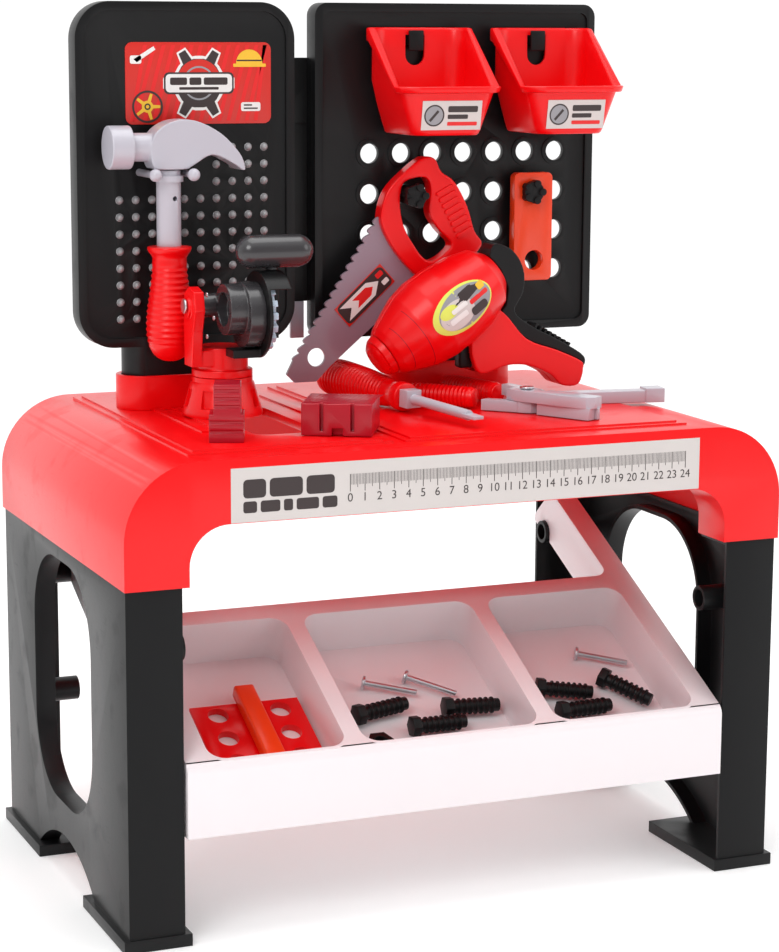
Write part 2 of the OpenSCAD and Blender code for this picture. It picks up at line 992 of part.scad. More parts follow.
module drill_frame() {
    translate([drill_x, drill_y, drill_z])
        rotate([0, -barrel_tilt, 0])
            children();
}

barrel_profile = [[0, -22], [16, -22], [19, -18], [24, -7], [28.5, 4], [31, 18], [30.5, 34],
    [28, 52], [23, 68], [14, 76], [0, 78]];
grip_outline = smooth([[50, 18], [66, 14], [84, -5], [108, -14], [126, -22], [129, -27], [125, -39],
    [112, -39], [103, -31], [86, -24], [70, -23], [53, -28], [46, -25], [42, -8]]);
strap_outline = smooth([[57, 58], [68, 60], [78, 52], [83, 40], [82, 27], [76, 14], [90, 3],
    [112, -8], [131, -20], [127, -28], [108, -20], [84, -12], [60, -4], [55, 20]]);

module barrel_side() {
    n = len(barrel_profile);
    polygon(concat([for (p = barrel_profile) [p[1], p[0]]],
        [for (i = [n - 2:-1:1]) [barrel_profile[i][1], -barrel_profile[i][0]]]));
}

module drill_solid() {
    drill_frame()
        rotate([0, 90, 0])
            rotate_extrude()
                polygon(barrel_profile);
    translate([drill_x, drill_y + 12, drill_z])
        rotate([90, 0, 0])
            linear_extrude(24)
                polygon(grip_outline);
}

module drill_hollow() {
    drill_frame()
        rod_x([-18, 60], 0, 0, 17);
    box([trigger_x - 3, trigger_x + trigger_len + spring_len], [drill_y - 6, drill_y + 6],
        [drill_z - 27, drill_z]);
    drill_frame()
        rod_x([-40, 0], 0, 0, 6 + run);
}

module drill_half(y) {
    difference() {
        intersection() {
            drill_solid();
            box([-200, 400], y, [0, 2*top_z]);
        }
        drill_hollow();
    }
}

module drill_front_shell() {
    color("red")
    drill_half([drill_y - 60, drill_y - tiny]);
}

module drill_rear_shell() {
    color("red")
    drill_half([drill_y + tiny, drill_y + 60]);
}

module drill_grip() {
    color([0.1, 0.1, 0.1])
    translate([drill_x, drill_y + 9, drill_z])
        rotate([90, 0, 0])
            linear_extrude(18)
                difference() {
                    polygon(strap_outline);
                    polygon(grip_outline);
                    rotate(barrel_tilt)
                        barrel_side();
                }
}

module drill_nose() {
    color("red")
    drill_frame()
        union() {
            rotate([0, 90, 0])
                rotate_extrude()
                    polygon([[0, -32], [8, -32], [12, -30], [14.5, -26], [15.5, -22 - gap], [0, -22 - gap]]);
            rod_x([-23, -10], 0, 0, 6);
        }
}

module drill_trigger() {
    color([0.15, 0.15, 0.16])
    box([trigger_x, trigger_x + trigger_len], [drill_y - 5, drill_y + 5],
        [drill_z - 24.5, drill_z - 5]);
}

module trigger_spring() {
    color("silver")
    rod_x([trigger_x + trigger_len + tiny, trigger_x + trigger_len + spring_len - tiny],
        drill_y, drill_z - 12, 3);
}

module drill_label() {
    color("khaki")
    translate([drill_x, drill_y - 31, drill_z])
        rotate([90, -barrel_tilt, 0])
            translate([34, 2, 0])
                scale([1, 0.6, 1])
                    cylinder(h = 0.6, r = 22);
}

module drill_screws() {
    color("dimgray")
    for (p = [[76, -12], [110, -26]])
        rod_y(drill_x + p[0], [drill_y + 12.2, drill_y + 14], drill_z + p[1], 2.5);
}

// ---- screwdriver ----

module driver_frame() {
    translate([driver_x, driver_y, deck_z + driver_lift])
        rotate([0, 0, driver_turn])
            rotate([0, 90 + driver_tilt, 0])
                children();
}

module screwdriver_handle() {
    color("red")
    driver_frame()
        difference() {
            rotate_extrude()
                polygon([[0, 0], [9, 1], [13, 6], [13.5, 20], [12.5, 50], [10, 76], [8.5, 84], [10, 92],
                    [10, 98], [0, 98]]);
            translate([0, 0, 60])
                cylinder(h = 60, r = 3.5);
        }
}

module screwdriver_blade() {
    color([0.7, 0.7, 0.74])
    driver_frame() {
        translate([0, 0, 60 + tiny])
            cylinder(h = 110, r = 3.5 - tiny);
        translate([0, 0, 103])
            cube([12, 12, 9], center = true);
        translate([0, 0, 174])
            cube([2.2, 8, 14], center = true);
    }
}

// ---- pliers ----

module plier_frame() {
    translate([plier_x, plier_y, deck_z + 2*gap])
        rotate(plier_turn)
            children();
}

jaw_outline = [[-12, -2], [-12, 7], [-2, 10], [10, 9.5], [34, 10.5], [54, 8], [58, 3],
    [58, 0.2], [12, 0.2], [8, -6], [0, -9.5], [-8, -7]];

module plier_half(side, z) {
    mirror([0, side, 0])
        translate([0, 0, z])
            linear_extrude(7.5)
                difference() {
                    union() {
                        polygon(jaw_outline);
                        polygon([[-10, -3], [2, -8], [-27, -16], [-27, -8]]);
                    }
                    circle(3 + run);
                }
}

module pliers_lower_half() {
    color([0.72, 0.72, 0.76])
    plier_frame()
        union() {
            plier_half(0, 0);
            box([14, 56], [0.3, 8], [7, 15]);
        }
}

module pliers_upper_half() {
    color([0.72, 0.72, 0.76])
    plier_frame()
        union() {
            plier_half(1, 7.5 + gap);
            box([14, 56], [-8, -0.3], [0, 8]);
        }
}

module plier_grip(side) {
    translate([-27 - tiny, side*12.5, 7.7])
        rotate([0, 0, -side*12])
            rotate([0, -90, 0])
                rotate_extrude()
                    polygon([[0, 6.5], [6, 6.5], [7.4, 12], [7.6, 50], [6.5, 62], [0, 66]]);
}

module pliers_lower_grip() {
    color("red")
    plier_frame()
        plier_grip(-1);
}

module pliers_upper_grip() {
    color("red")
    plier_frame()
        plier_grip(1);
}

module pliers_pin() {
    color("silver")
    plier_frame()
        union() {
            cylinder(h = 16, r = 3);
            translate([0, 0, 15.3 + gap])
                cylinder(h = 1.6, r = 5);
        }
}

// ---- wrench ----

module wrench() {
    color([0.72, 0.72, 0.76])
    translate([wrench_x, wrench_y, deck_z + tiny])
        rotate(wrench_turn)
            union() {
                translate([0, -7, 0])
                    cube([14, 14, 10]);
                translate([13, -6, 0])
                    cube([76, 12, 8.5]);
                translate([86, -8, 0])
                    cube([16, 16, 10]);
            }
}

// ---- loose pieces in the tray ----

module hole_plate() {
    color([0.72, 0.02, 0.1])
    on_tray()
        difference() {
            box([-160, -84], [4, 70], [floor_w + gap, floor_w + 5.5]);
            for (x = [-143, -99], u = [14, 37, 60])
                translate([x, u, floor_w])
                    cylinder(h = 20, r = 7);
        }
}

module orange_bar() {
    color("orangered")
    on_tray()
        box([-128, -114], [0, 78], [floor_w + 5.5 + gap, floor_w + 15]);
}

bolt_places = [[-12, 26, 0], [18, 41, -4], [-46, 44, 10], [92, 50, -16], [142, 52, -50], [98, 25, 2]];
nail_places = [[-2, 80, -38], [-34, 78, -25], [132, 86, -25]];
dowel_places = [[-14, 1, 46], [0, 11.5, 50], [100, 4, 56]];

module threaded_bolt(l) {
    rotate([0, 90, 0]) {
        cylinder(h = l, d = bolt_d);
        for (i = [0:floor(l/4) - 2])
            translate([0, 0, 4 + 4*i])
                cylinder(h = 1.6, d = bolt_d + 2.4);
        translate([0, 0, -6])
            cylinder(h = 6, d = 15, $fn = 6);
    }
}

module toy_bolts() {
    color([0.08, 0.08, 0.08])
    on_tray()
        for (b = bolt_places)
            translate([b[0], b[1], floor_w + 8])
                rotate(b[2])
                    threaded_bolt(34);
}

module toy_nuts() {
    color([0.08, 0.08, 0.08])
    on_tray()
        translate([-44, 14, floor_w + gap])
            difference() {
                cylinder(h = 9, d = 20, $fn = 6);
                translate([0, 0, -1])
                    cylinder(h = 12, d = bolt_d + 1);
            }
}

module toy_nails() {
    color("silver")
    on_tray()
        for (n = nail_places)
            translate([n[0], n[1], floor_w + 5.5])
                rotate(n[2])
                    rotate([0, 90, 0]) {
                        cylinder(h = 38, r = 2);
                        cylinder(h = 2, r = 4.8);
                    }
}

module toy_dowels() {
    color([0.9, 0.87, 0.86])
    on_tray()
        for (d = dowel_places)
            translate([d[0], d[1], floor_w + 5.4])
                rotate([0, 90, 0]) {
                    cylinder(h = d[2], r = 4);
                    sphere(5);
                }
}

worktop();
board_sockets();
ruler_label();
left_leg();
right_leg();
leg_screws();
tray();
left_board();
right_board();
board_bridge();
bridge_clip();
bridge_screws();
board_label();
bin_hooks();
left_bin();
right_bin();
left_bin_label();
right_bin_label();
hammer_pegs();
hammer_head();
hammer_shaft();
hammer_handle();
handsaw_blade();
handsaw_handle();
handsaw_label();
handsaw_screw();
link_strip();
strip_screw();
saw_stand();
saw_turntable();
saw_pivot_pin();
saw_motor();
saw_guard();
saw_knob();
saw_disc();
saw_arbor();
stepped_block();
grooved_block();
drill_front_shell();
drill_rear_shell();
drill_grip();
drill_nose();
drill_trigger();
trigger_spring();
drill_label();
drill_screws();
screwdriver_handle();
screwdriver_blade();
pliers_lower_half();
pliers_upper_half();
pliers_lower_grip();
pliers_upper_grip();
pliers_pin();
wrench();
hole_plate();
orange_bar();
toy_bolts();
toy_nuts();
toy_nails();
toy_dowels();
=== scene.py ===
"""Toy workbench: fine meshes, finishes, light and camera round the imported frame.

Every piece is made in metres in the frame's own axes: +X to the right seen from the
front, +Y towards the tool boards, +Z up, with the floor at zero.
"""

import json
import logging
import math
from dataclasses import dataclass, field
from enum import Enum
from typing import Callable, Iterable, Sequence

import bmesh
import bpy
from mathutils import Matrix, Vector
from mathutils.bvhtree import BVHTree


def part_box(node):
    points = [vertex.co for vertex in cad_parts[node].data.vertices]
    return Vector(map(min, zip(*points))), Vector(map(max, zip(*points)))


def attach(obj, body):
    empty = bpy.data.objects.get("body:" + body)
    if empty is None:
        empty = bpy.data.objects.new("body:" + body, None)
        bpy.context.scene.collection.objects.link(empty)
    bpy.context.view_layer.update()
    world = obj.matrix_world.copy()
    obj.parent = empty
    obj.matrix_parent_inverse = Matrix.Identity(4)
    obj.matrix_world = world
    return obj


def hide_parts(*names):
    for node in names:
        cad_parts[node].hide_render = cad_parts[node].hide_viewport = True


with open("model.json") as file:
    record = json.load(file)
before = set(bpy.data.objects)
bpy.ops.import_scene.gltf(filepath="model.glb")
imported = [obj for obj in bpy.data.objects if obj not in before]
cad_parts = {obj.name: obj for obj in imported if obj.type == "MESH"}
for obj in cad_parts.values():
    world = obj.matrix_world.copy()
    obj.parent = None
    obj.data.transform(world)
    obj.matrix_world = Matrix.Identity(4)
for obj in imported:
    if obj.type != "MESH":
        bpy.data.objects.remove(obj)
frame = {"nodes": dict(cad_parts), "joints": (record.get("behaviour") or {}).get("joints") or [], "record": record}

LOG = logging.getLogger("workbench")
MM = 0.001
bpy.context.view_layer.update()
RECORD = frame["record"]
BODY_OF = {
    node: body
    for body, nodes in RECORD["behaviour"]["bodies"].items()
    for node in nodes
}
SLOT_OF = {part["node"]: part["material_slot"] for part in RECORD["subparts"]}
Point = tuple[float, float]
Colour = tuple[float, float, float]


# ---- shader graphs ----


class Wire:
    """One shader socket; arithmetic on it adds the Math nodes that work it out."""

    def __init__(self, graph: "Graph", socket: bpy.types.NodeSocket) -> None:
        """Keep the graph and the output socket that this wire stands for."""
        self.graph = graph
        self.socket = socket

    def _sum(self, operation: str, first: object, second: object) -> "Wire":
        """Add one Math node.

        Args:
            operation: the Math node's operation.
            first: the number or wire of its first input.
            second: the number or wire of its second input.

        Returns:
            The node's result.
        """
        return self.graph.node("ShaderNodeMath", {"operation": operation}, {0: first, 1: second})

    def __add__(self, other: object) -> "Wire":
        """Add a number or a wire."""
        return self._sum("ADD", self, other)

    __radd__ = __add__

    def __mul__(self, other: object) -> "Wire":
        """Multiply by a number or a wire."""
        return self._sum("MULTIPLY", self, other)

    __rmul__ = __mul__

    def __sub__(self, other: object) -> "Wire":
        """Take away a number or a wire."""
        return self._sum("SUBTRACT", self, other)

    def __rsub__(self, other: object) -> "Wire":
        """Take this wire away from a number."""
        return self._sum("SUBTRACT", other, self)

    def above(self, level: float, width: float) -> "Wire":
        """Ramp from 0 below a level to 1 above it.

        Args:
            level: the value at the middle of the ramp.
            width: how wide the ramp is.

        Returns:
            The ramped value.
        """
        settings = {"interpolation_type": "SMOOTHSTEP"}
        values = {0: self, 1: level - width / 2, 2: level + width / 2}
        return self.graph.node("ShaderNodeMapRange", settings, values)


class Graph:
    """A material's node tree with its Principled shader."""

    def __init__(self, name: str) -> None:
        """Start a material that has only its shader and its output."""
        self.material = bpy.data.materials.new(name)
        self.material.use_nodes = True
        self.tree = self.material.node_tree
        self.shader = self.tree.nodes["Principled BSDF"]

    def node(self, kind: str, settings: dict, values: dict, output: object = 0) -> Wire:
        """Add any node.

        Args:
            kind: the node's type.
            settings: the node's own settings, set first.
            values: each input's number, colour or wire, by name or place.
            output: the name or place of the output that is wanted.

        Returns:
            The wanted output.
        """
        made = self.tree.nodes.new(kind)
        for key, value in settings.items():
            setattr(made, key, value)
        for key, value in values.items():
            self.feed(made.inputs[key], value)
        return Wire(self, made.outputs[output])

    def feed(self, socket: bpy.types.NodeSocket, value: object) -> None:
        """Link a wire to an input, or set the input's value."""
        if isinstance(value, Wire):
            self.tree.links.new(value.socket, socket)
        else:
            socket.default_value = value

    def place(self, stretch: tuple[float, float, float] = (1, 1, 1)) -> Wire:
        """Object coordinates, stretched along the axes."""
        coords = self.node("ShaderNodeTexCoord", {}, {}, "Object")
        if stretch == (1, 1, 1):
            return coords
        return self.node("ShaderNodeMapping", {}, {"Vector": coords, "Scale": stretch})

    def noise(self, where: Wire, scale: float, detail: float = 2.0) -> Wire:
        """Smooth noise between 0 and 1, with this many cells in a metre."""
        values = {"Vector": where, "Scale": scale, "Detail": detail}
        return self.node("ShaderNodeTexNoise", {}, values, 0)

    def tint(self, factor: object, low: Colour, high: Colour) -> Wire:
        """Blend two colours by a factor."""
        made = self.tree.nodes.new("ShaderNodeMix")
        made.data_type = "RGBA"
        named = {socket.identifier: socket for socket in made.inputs}
        self.feed(named["Factor_Float"], factor)
        self.feed(named["A_Color"], low if isinstance(low, Wire) else (*low, 1.0))
        self.feed(named["B_Color"], high if isinstance(high, Wire) else (*high, 1.0))
        outs = {socket.identifier: socket for socket in made.outputs}
        return Wire(self, outs["Result_Color"])

    def bump(self, height: Wire, strength: float, distance: float) -> None:
        """Raise the surface by a height pattern, through the shader's normal."""
        values = {"Height": height, "Strength": strength, "Distance": distance}
        self.feed(self.shader.inputs["Normal"], self.node("ShaderNodeBump", {}, values))


def shade(colour: Colour, factor: float) -> Colour:
    """Lighten or darken a colour, keeping it below full white."""
    return tuple(min(0.98, channel * factor) for channel in colour)


@dataclass(frozen=True)
class Plastic:
    """Injection-moulded plastic: faint flow clouds, fine peel and rubbed patches."""

    name: str
    colour: Colour
    roughness: float = 0.3
    coat: float = 0.2
    cloud: float = 0.08
    peel: float = 0.10
    grain: float = 700.0
    shine: float = 0.5

    def material(self) -> bpy.types.Material:
        """Build the shader.

        Returns:
            The finished material.
        """
        graph = Graph(self.name)
        here = graph.place()
        flow = graph.noise(graph.place((1.0, 1.0, 0.45)), 14.0, 3.0)
        tint = graph.tint(flow, shade(self.colour, 1 - self.cloud), shade(self.colour, 1 + self.cloud))
        graph.feed(graph.shader.inputs["Base Color"], tint)
        rub = graph.noise(here, 42.0, 4.0).above(0.62, 0.18)
        fine = graph.noise(here, self.grain, 2.0)
        hair = graph.noise(graph.place((1.0, 0.06, 1.0)), 900.0, 1.0).above(0.74, 0.06)
        rough = fine * 0.05 + rub * 0.07 + hair * 0.05 + (self.roughness - 0.03)
        graph.feed(graph.shader.inputs["Roughness"], rough)
        soft = graph.noise(here, self.grain * 0.2, 1.0)
        graph.bump(fine * 0.35 + soft * 0.65, self.peel, 0.4 * MM)
        graph.shader.inputs["Specular IOR Level"].default_value = self.shine
        graph.shader.inputs["Coat Weight"].default_value = self.coat
        graph.shader.inputs["Coat Roughness"].default_value = 0.12
        graph.shader.inputs["IOR"].default_value = 1.5
        return graph.material


@dataclass(frozen=True)
class Metal:
    """Plain steel with fine drawn lines."""

    name: str
    colour: Colour
    roughness: float = 0.3
    lines: float = 1500.0

    def material(self) -> bpy.types.Material:
        """Build the shader.

        Returns:
            The finished material.
        """
        graph = Graph(self.name)
        drawn = graph.noise(graph.place((1.0, 1.0, 0.05)), self.lines, 2.0)
        stain = graph.noise(graph.place(), 80.0, 3.0)
        graph.feed(graph.shader.inputs["Base Color"],
                   graph.tint(stain, shade(self.colour, 0.85), shade(self.colour, 1.08)))
        graph.feed(graph.shader.inputs["Roughness"], drawn * 0.16 + (self.roughness - 0.06))
        graph.bump(drawn, 0.12, 0.2 * MM)
        graph.shader.inputs["Metallic"].default_value = 1.0
        return graph.material


@dataclass(frozen=True)
class Ink:
    """Printing ink on film: nearly flat, with a fine press grain."""

    name: str
    colour: Colour
    roughness: float = 0.45

    def material(self) -> bpy.types.Material:
        """Build the shader.

        Returns:
            The finished material.
        """
        graph = Graph(self.name)
        dots = graph.noise(graph.place(), 2600.0, 1.0)
        wash = graph.noise(graph.place(), 30.0, 2.0)
        tone = dots * 0.5 + wash * 0.5
        graph.feed(graph.shader.inputs["Base Color"],
                   graph.tint(tone, shade(self.colour, 0.94), shade(self.colour, 1.05)))
        graph.feed(graph.shader.inputs["Roughness"], dots * 0.08 + (self.roughness - 0.04))
        graph.bump(dots, 0.05, 0.1 * MM)
        return graph.material


class Finish(Enum):
    """Every finish on the bench, its boards and its tools."""

    RED = Plastic("red plastic", (0.84, 0.001, 0.003), 0.30, 0.06, 0.05, 0.10, 700.0, 0.34)
    CRIMSON = Plastic("crimson plastic", (0.40, 0.001, 0.014), 0.30, 0.2, 0.12, 0.16, 420.0, 0.4)
    ORANGE = Plastic("orange plastic", (0.88, 0.055, 0.006), 0.30, 0.2, 0.06)
    BLACK = Plastic("black plastic", (0.006, 0.006, 0.0065), 0.38, 0.0, 0.15, 0.14, 700.0, 0.26)
    SOFT_BLACK = Plastic("soft black plastic", (0.005, 0.005, 0.0055), 0.44, 0.0, 0.15, 0.12, 700.0, 0.24)
    # The studs' light grey is painted highlight: it lightens glossy dark domes to stand for the light they
    # reflect.
    STUD = Plastic("worn grey plastic", (0.30, 0.30, 0.31), 0.20, 0.4, 0.15, 0.06)
    SMOKE = Plastic("smoke grey plastic", (0.035, 0.033, 0.036), 0.24, 0.3, 0.10, 0.05)
    WHITE = Plastic("white plastic", (0.86, 0.80, 0.82), 0.34, 0.15, 0.025, 0.08)
    SILVER = Plastic("silver grey plastic", (0.50, 0.48, 0.54), 0.30, 0.35, 0.07, 0.08, 1400.0)
    DISC = Plastic("blue silver plastic", (0.46, 0.56, 0.66), 0.26, 0.35, 0.08, 0.08, 1400.0)
    MAUVE = Plastic("mauve silver plastic", (0.30, 0.215, 0.27), 0.30, 0.35, 0.08, 0.08, 1400.0)
    STEEL = Metal("drawn steel", (0.62, 0.62, 0.65), 0.30)
    FILM = Ink("label film", (0.63, 0.58, 0.56), 0.34)
    RED_FILM = Ink("red label film", (0.62, 0.02, 0.012), 0.34)
    DARK_INK = Ink("dark ink", (0.035, 0.022, 0.022))
    PALE_INK = Ink("pale ink", (0.80, 0.78, 0.76))
    GREY_INK = Ink("grey ink", (0.30, 0.30, 0.32))
    YELLOW_INK = Ink("yellow ink", (0.85, 0.50, 0.03))
    LIME_INK = Ink("lime ink", (0.72, 0.78, 0.12))
    RED_INK = Ink("red ink", (0.75, 0.01, 0.01))


class Paints:
    """Keeps one material for each finish, made the first time it is asked for."""

    made: dict[Finish, bpy.types.Material] = {}

    @classmethod
    def of(cls, finish: Finish) -> bpy.types.Material:
        """The finish's material."""
        if finish not in cls.made:
            cls.made[finish] = finish.value.material()
        return cls.made[finish]


SLOT_FINISH = {
    "red_plastic": Finish.RED,
    "dark_red_plastic": Finish.CRIMSON,
    "orange_plastic": Finish.ORANGE,
    "black_plastic": Finish.BLACK,
    "matte_black": Finish.SOFT_BLACK,
    "white_plastic": Finish.WHITE,
    "grey_plastic": Finish.SILVER,
    "silver_disc": Finish.DISC,
    "mauve_blade": Finish.MAUVE,
    "steel": Finish.STEEL,
    "label": Finish.FILM,
    "dark_label": Finish.RED_FILM,
}


# ---- mesh making ----


def add_object(name: str, mesh: bpy.types.Mesh) -> bpy.types.Object:
    """Put a mesh in the scene as an object at the origin."""
    made = bpy.data.objects.new(name, mesh)
    bpy.context.scene.collection.objects.link(made)
    return made


def from_bmesh(name: str, shape: bmesh.types.BMesh, angle: float = 35.0) -> bpy.types.Object:
    """Turn a bmesh into an object with smooth shading between sharp edges.

    Args:
        name: the object's name.
        shape: the mesh, which is freed.
        angle: edges sharper than this many degrees stay sharp.

    Returns:
        The new object.
    """
    mesh = bpy.data.meshes.new(name)
    shape.to_mesh(mesh)
    shape.free()
    mesh.shade_smooth()
    mesh.set_sharp_from_angle(angle=math.radians(angle))
    return add_object(name, mesh)


def baked(piece: bpy.types.Object, angle: float = 35.0) -> bpy.types.Object:
    """Apply every modifier of a piece to its mesh and shade it smooth."""
    bpy.context.view_layer.update()
    graph = bpy.context.evaluated_depsgraph_get()
    mesh = bpy.data.meshes.new_from_object(piece.evaluated_get(graph))
    piece.modifiers.clear()
    old = piece.data
    piece.data = mesh
    bpy.data.meshes.remove(old)
    mesh.name = piece.name
    mesh.shade_smooth()
    mesh.set_sharp_from_angle(angle=math.radians(angle))
    return piece


def copy_of(node: str, name: str) -> bpy.types.Object:
    """A merged copy of a CAD node's mesh, with its flat faces joined up."""
    shape = bmesh.new()
    shape.from_mesh(frame["nodes"][node].data)
    bmesh.ops.remove_doubles(shape, verts=shape.verts, dist=0.002 * MM)
    bmesh.ops.dissolve_limit(
        shape, angle_limit=math.radians(0.4), verts=shape.verts, edges=shape.edges
    )
    return from_bmesh(name, shape)


def softened(
    node: str, width: float = 0.8, segments: int = 3, angle: float = 30.0
) -> bpy.types.Object:
    """A copy of a CAD node with its corners rounded, as a mould rounds them.

    Args:
        node: the CAD node.
        width: the rounding in millimetres.
        segments: how many faces round a corner.
        angle: the corners that are rounded are sharper than this.

    Returns:
        The rounded copy.
    """
    piece = copy_of(node, node + "_skin")
    bevel = piece.modifiers.new("edge", "BEVEL")
    bevel.width = width * MM
    bevel.segments = segments
    bevel.limit_method = "ANGLE"
    bevel.angle_limit = math.radians(angle)
    bevel.use_clamp_overlap = True
    bevel.harden_normals = False
    return baked(piece)


def dress(
    piece: bpy.types.Object, finish: Finish, body: str, replaced: Sequence[str] = ()
) -> bpy.types.Object:
    """Give a piece its finish, let it ride on its body and say what it stands for.

    Args:
        piece: the finished piece.
        finish: what it is made of.
        body: the CAD body that it moves with.
        replaced: the CAD nodes that it stands for.

    Returns:
        The piece.
    """
    piece.data.materials.clear()
    piece.data.materials.append(Paints.of(finish))
    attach(piece, body)
    if replaced:
        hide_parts(*replaced)
    LOG.info("%s: %d faces on %s", piece.name, len(piece.data.polygons), body)
    return piece


def melted(
    node: str, voxel: float = 0.6, rounds: int = 6, keep: float = 0.5
) -> bpy.types.Object:
    """A copy of a CAD node whose corners and joins flow together, as cast ones do.

    Args:
        node: the CAD node.
        voxel: the size of the new mesh's cells in millimetres.
        rounds: how often the surface is smoothed.
        keep: the share of the faces that is kept.

    Returns:
        The smoothed copy.
    """
    piece = copy_of(node, node + "_skin")
    remesh = piece.modifiers.new("cells", "REMESH")
    remesh.mode = "VOXEL"
    remesh.voxel_size = voxel * MM
    smooth = piece.modifiers.new("flow", "SMOOTH")
    smooth.factor = 0.5
    smooth.iterations = rounds
    thin = piece.modifiers.new("thin", "DECIMATE")
    thin.ratio = keep
    return baked(piece, 60.0)


def carved(piece: bpy.types.Object, cutter: bpy.types.Object, reach: float) -> bpy.types.Object:
    """Cut one object out of another and delete the cutter.

    Args:
        piece: the object that is cut.
        cutter: the tool, which stands on its drawing's plane.
        reach: how far the tool is also pushed back along Y, in millimetres.

    Returns:
        The cut piece.
    """
    low = max(vertex.co.y for vertex in cutter.data.vertices)
    for vertex in cutter.data.vertices:
        if abs(vertex.co.y - low) < 1e-6:
            vertex.co.y += reach * MM
    tool = piece.modifiers.new("cut", "BOOLEAN")
    tool.object = cutter
    tool.solver = "EXACT"
    baked(piece, 50.0)
    bpy.data.objects.remove(cutter)
    return piece


@dataclass(frozen=True)
class Span:
    """A CAD node's box at rest, in millimetres."""

    low: Vector
    high: Vector

    @classmethod
    def of(cls, node: str) -> "Span":
        """The box of one node."""
        low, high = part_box(node)
        return cls(Vector(low) / MM, Vector(high) / MM)

    def at(self, x: float, y: float, z: float) -> Vector:
        """The point at these fractions of the box."""
        parts = zip(self.low, self.high, (x, y, z))
        return Vector([low + (high - low) * share for low, high, share in parts])

    @property
    def size(self) -> Vector:
        """The box's width, depth and height."""
        return self.high - self.low


def joint_at(name: str) -> Vector:
    """A joint's place in millimetres."""
    found = next(joint for joint in frame["joints"] if joint["name"] == name)
    return Vector(found["pos_m"]) / MM


def drawing(origin: Vector, across: Vector, up: Vector) -> Matrix:
    """The way from a flat drawing in millimetres (across, up, out) to the bench.

    Args:
        origin: the drawing's origin, in millimetres.
        across: the unit direction of its first axis.
        up: the unit direction of its second axis.

    Returns:
        The matrix, whose results are metres.
    """
    turn = Matrix((across, up, across.cross(up))).transposed().to_4x4()
    return Matrix.Translation(origin * MM) @ turn @ Matrix.Scale(MM, 4)


RIGHT = Vector((1, 0, 0))
BACK = Vector((0, 1, 0))
UP = Vector((0, 0, 1))


def arc(x: float, y: float, radius: float, start: float, end: float, steps: int = 8) -> list[Point]:
    """Points along an arc, with its angles in degrees."""
    turns = [math.radians(start + (end - start) * i / steps) for i in range(steps + 1)]
    return [(x + radius * math.cos(turn), y + radius * math.sin(turn)) for turn in turns]


def rounded(
    left: float, low: float, right: float, high: float, radius: float, steps: int = 6
) -> list[Point]:
    """A rectangle with round corners, anticlockwise from its right edge."""
    corners = ((right, high, 0), (left, high, 90), (left, low, 180), (right, low, 270))
    points: list[Point] = []
    for x, y, start in corners:
        middle_x = x - math.copysign(radius, x - (left + right) / 2)
        middle_y = y - math.copysign(radius, y - (low + high) / 2)
        points += arc(middle_x, middle_y, radius, start, start + 90, steps)
    return points


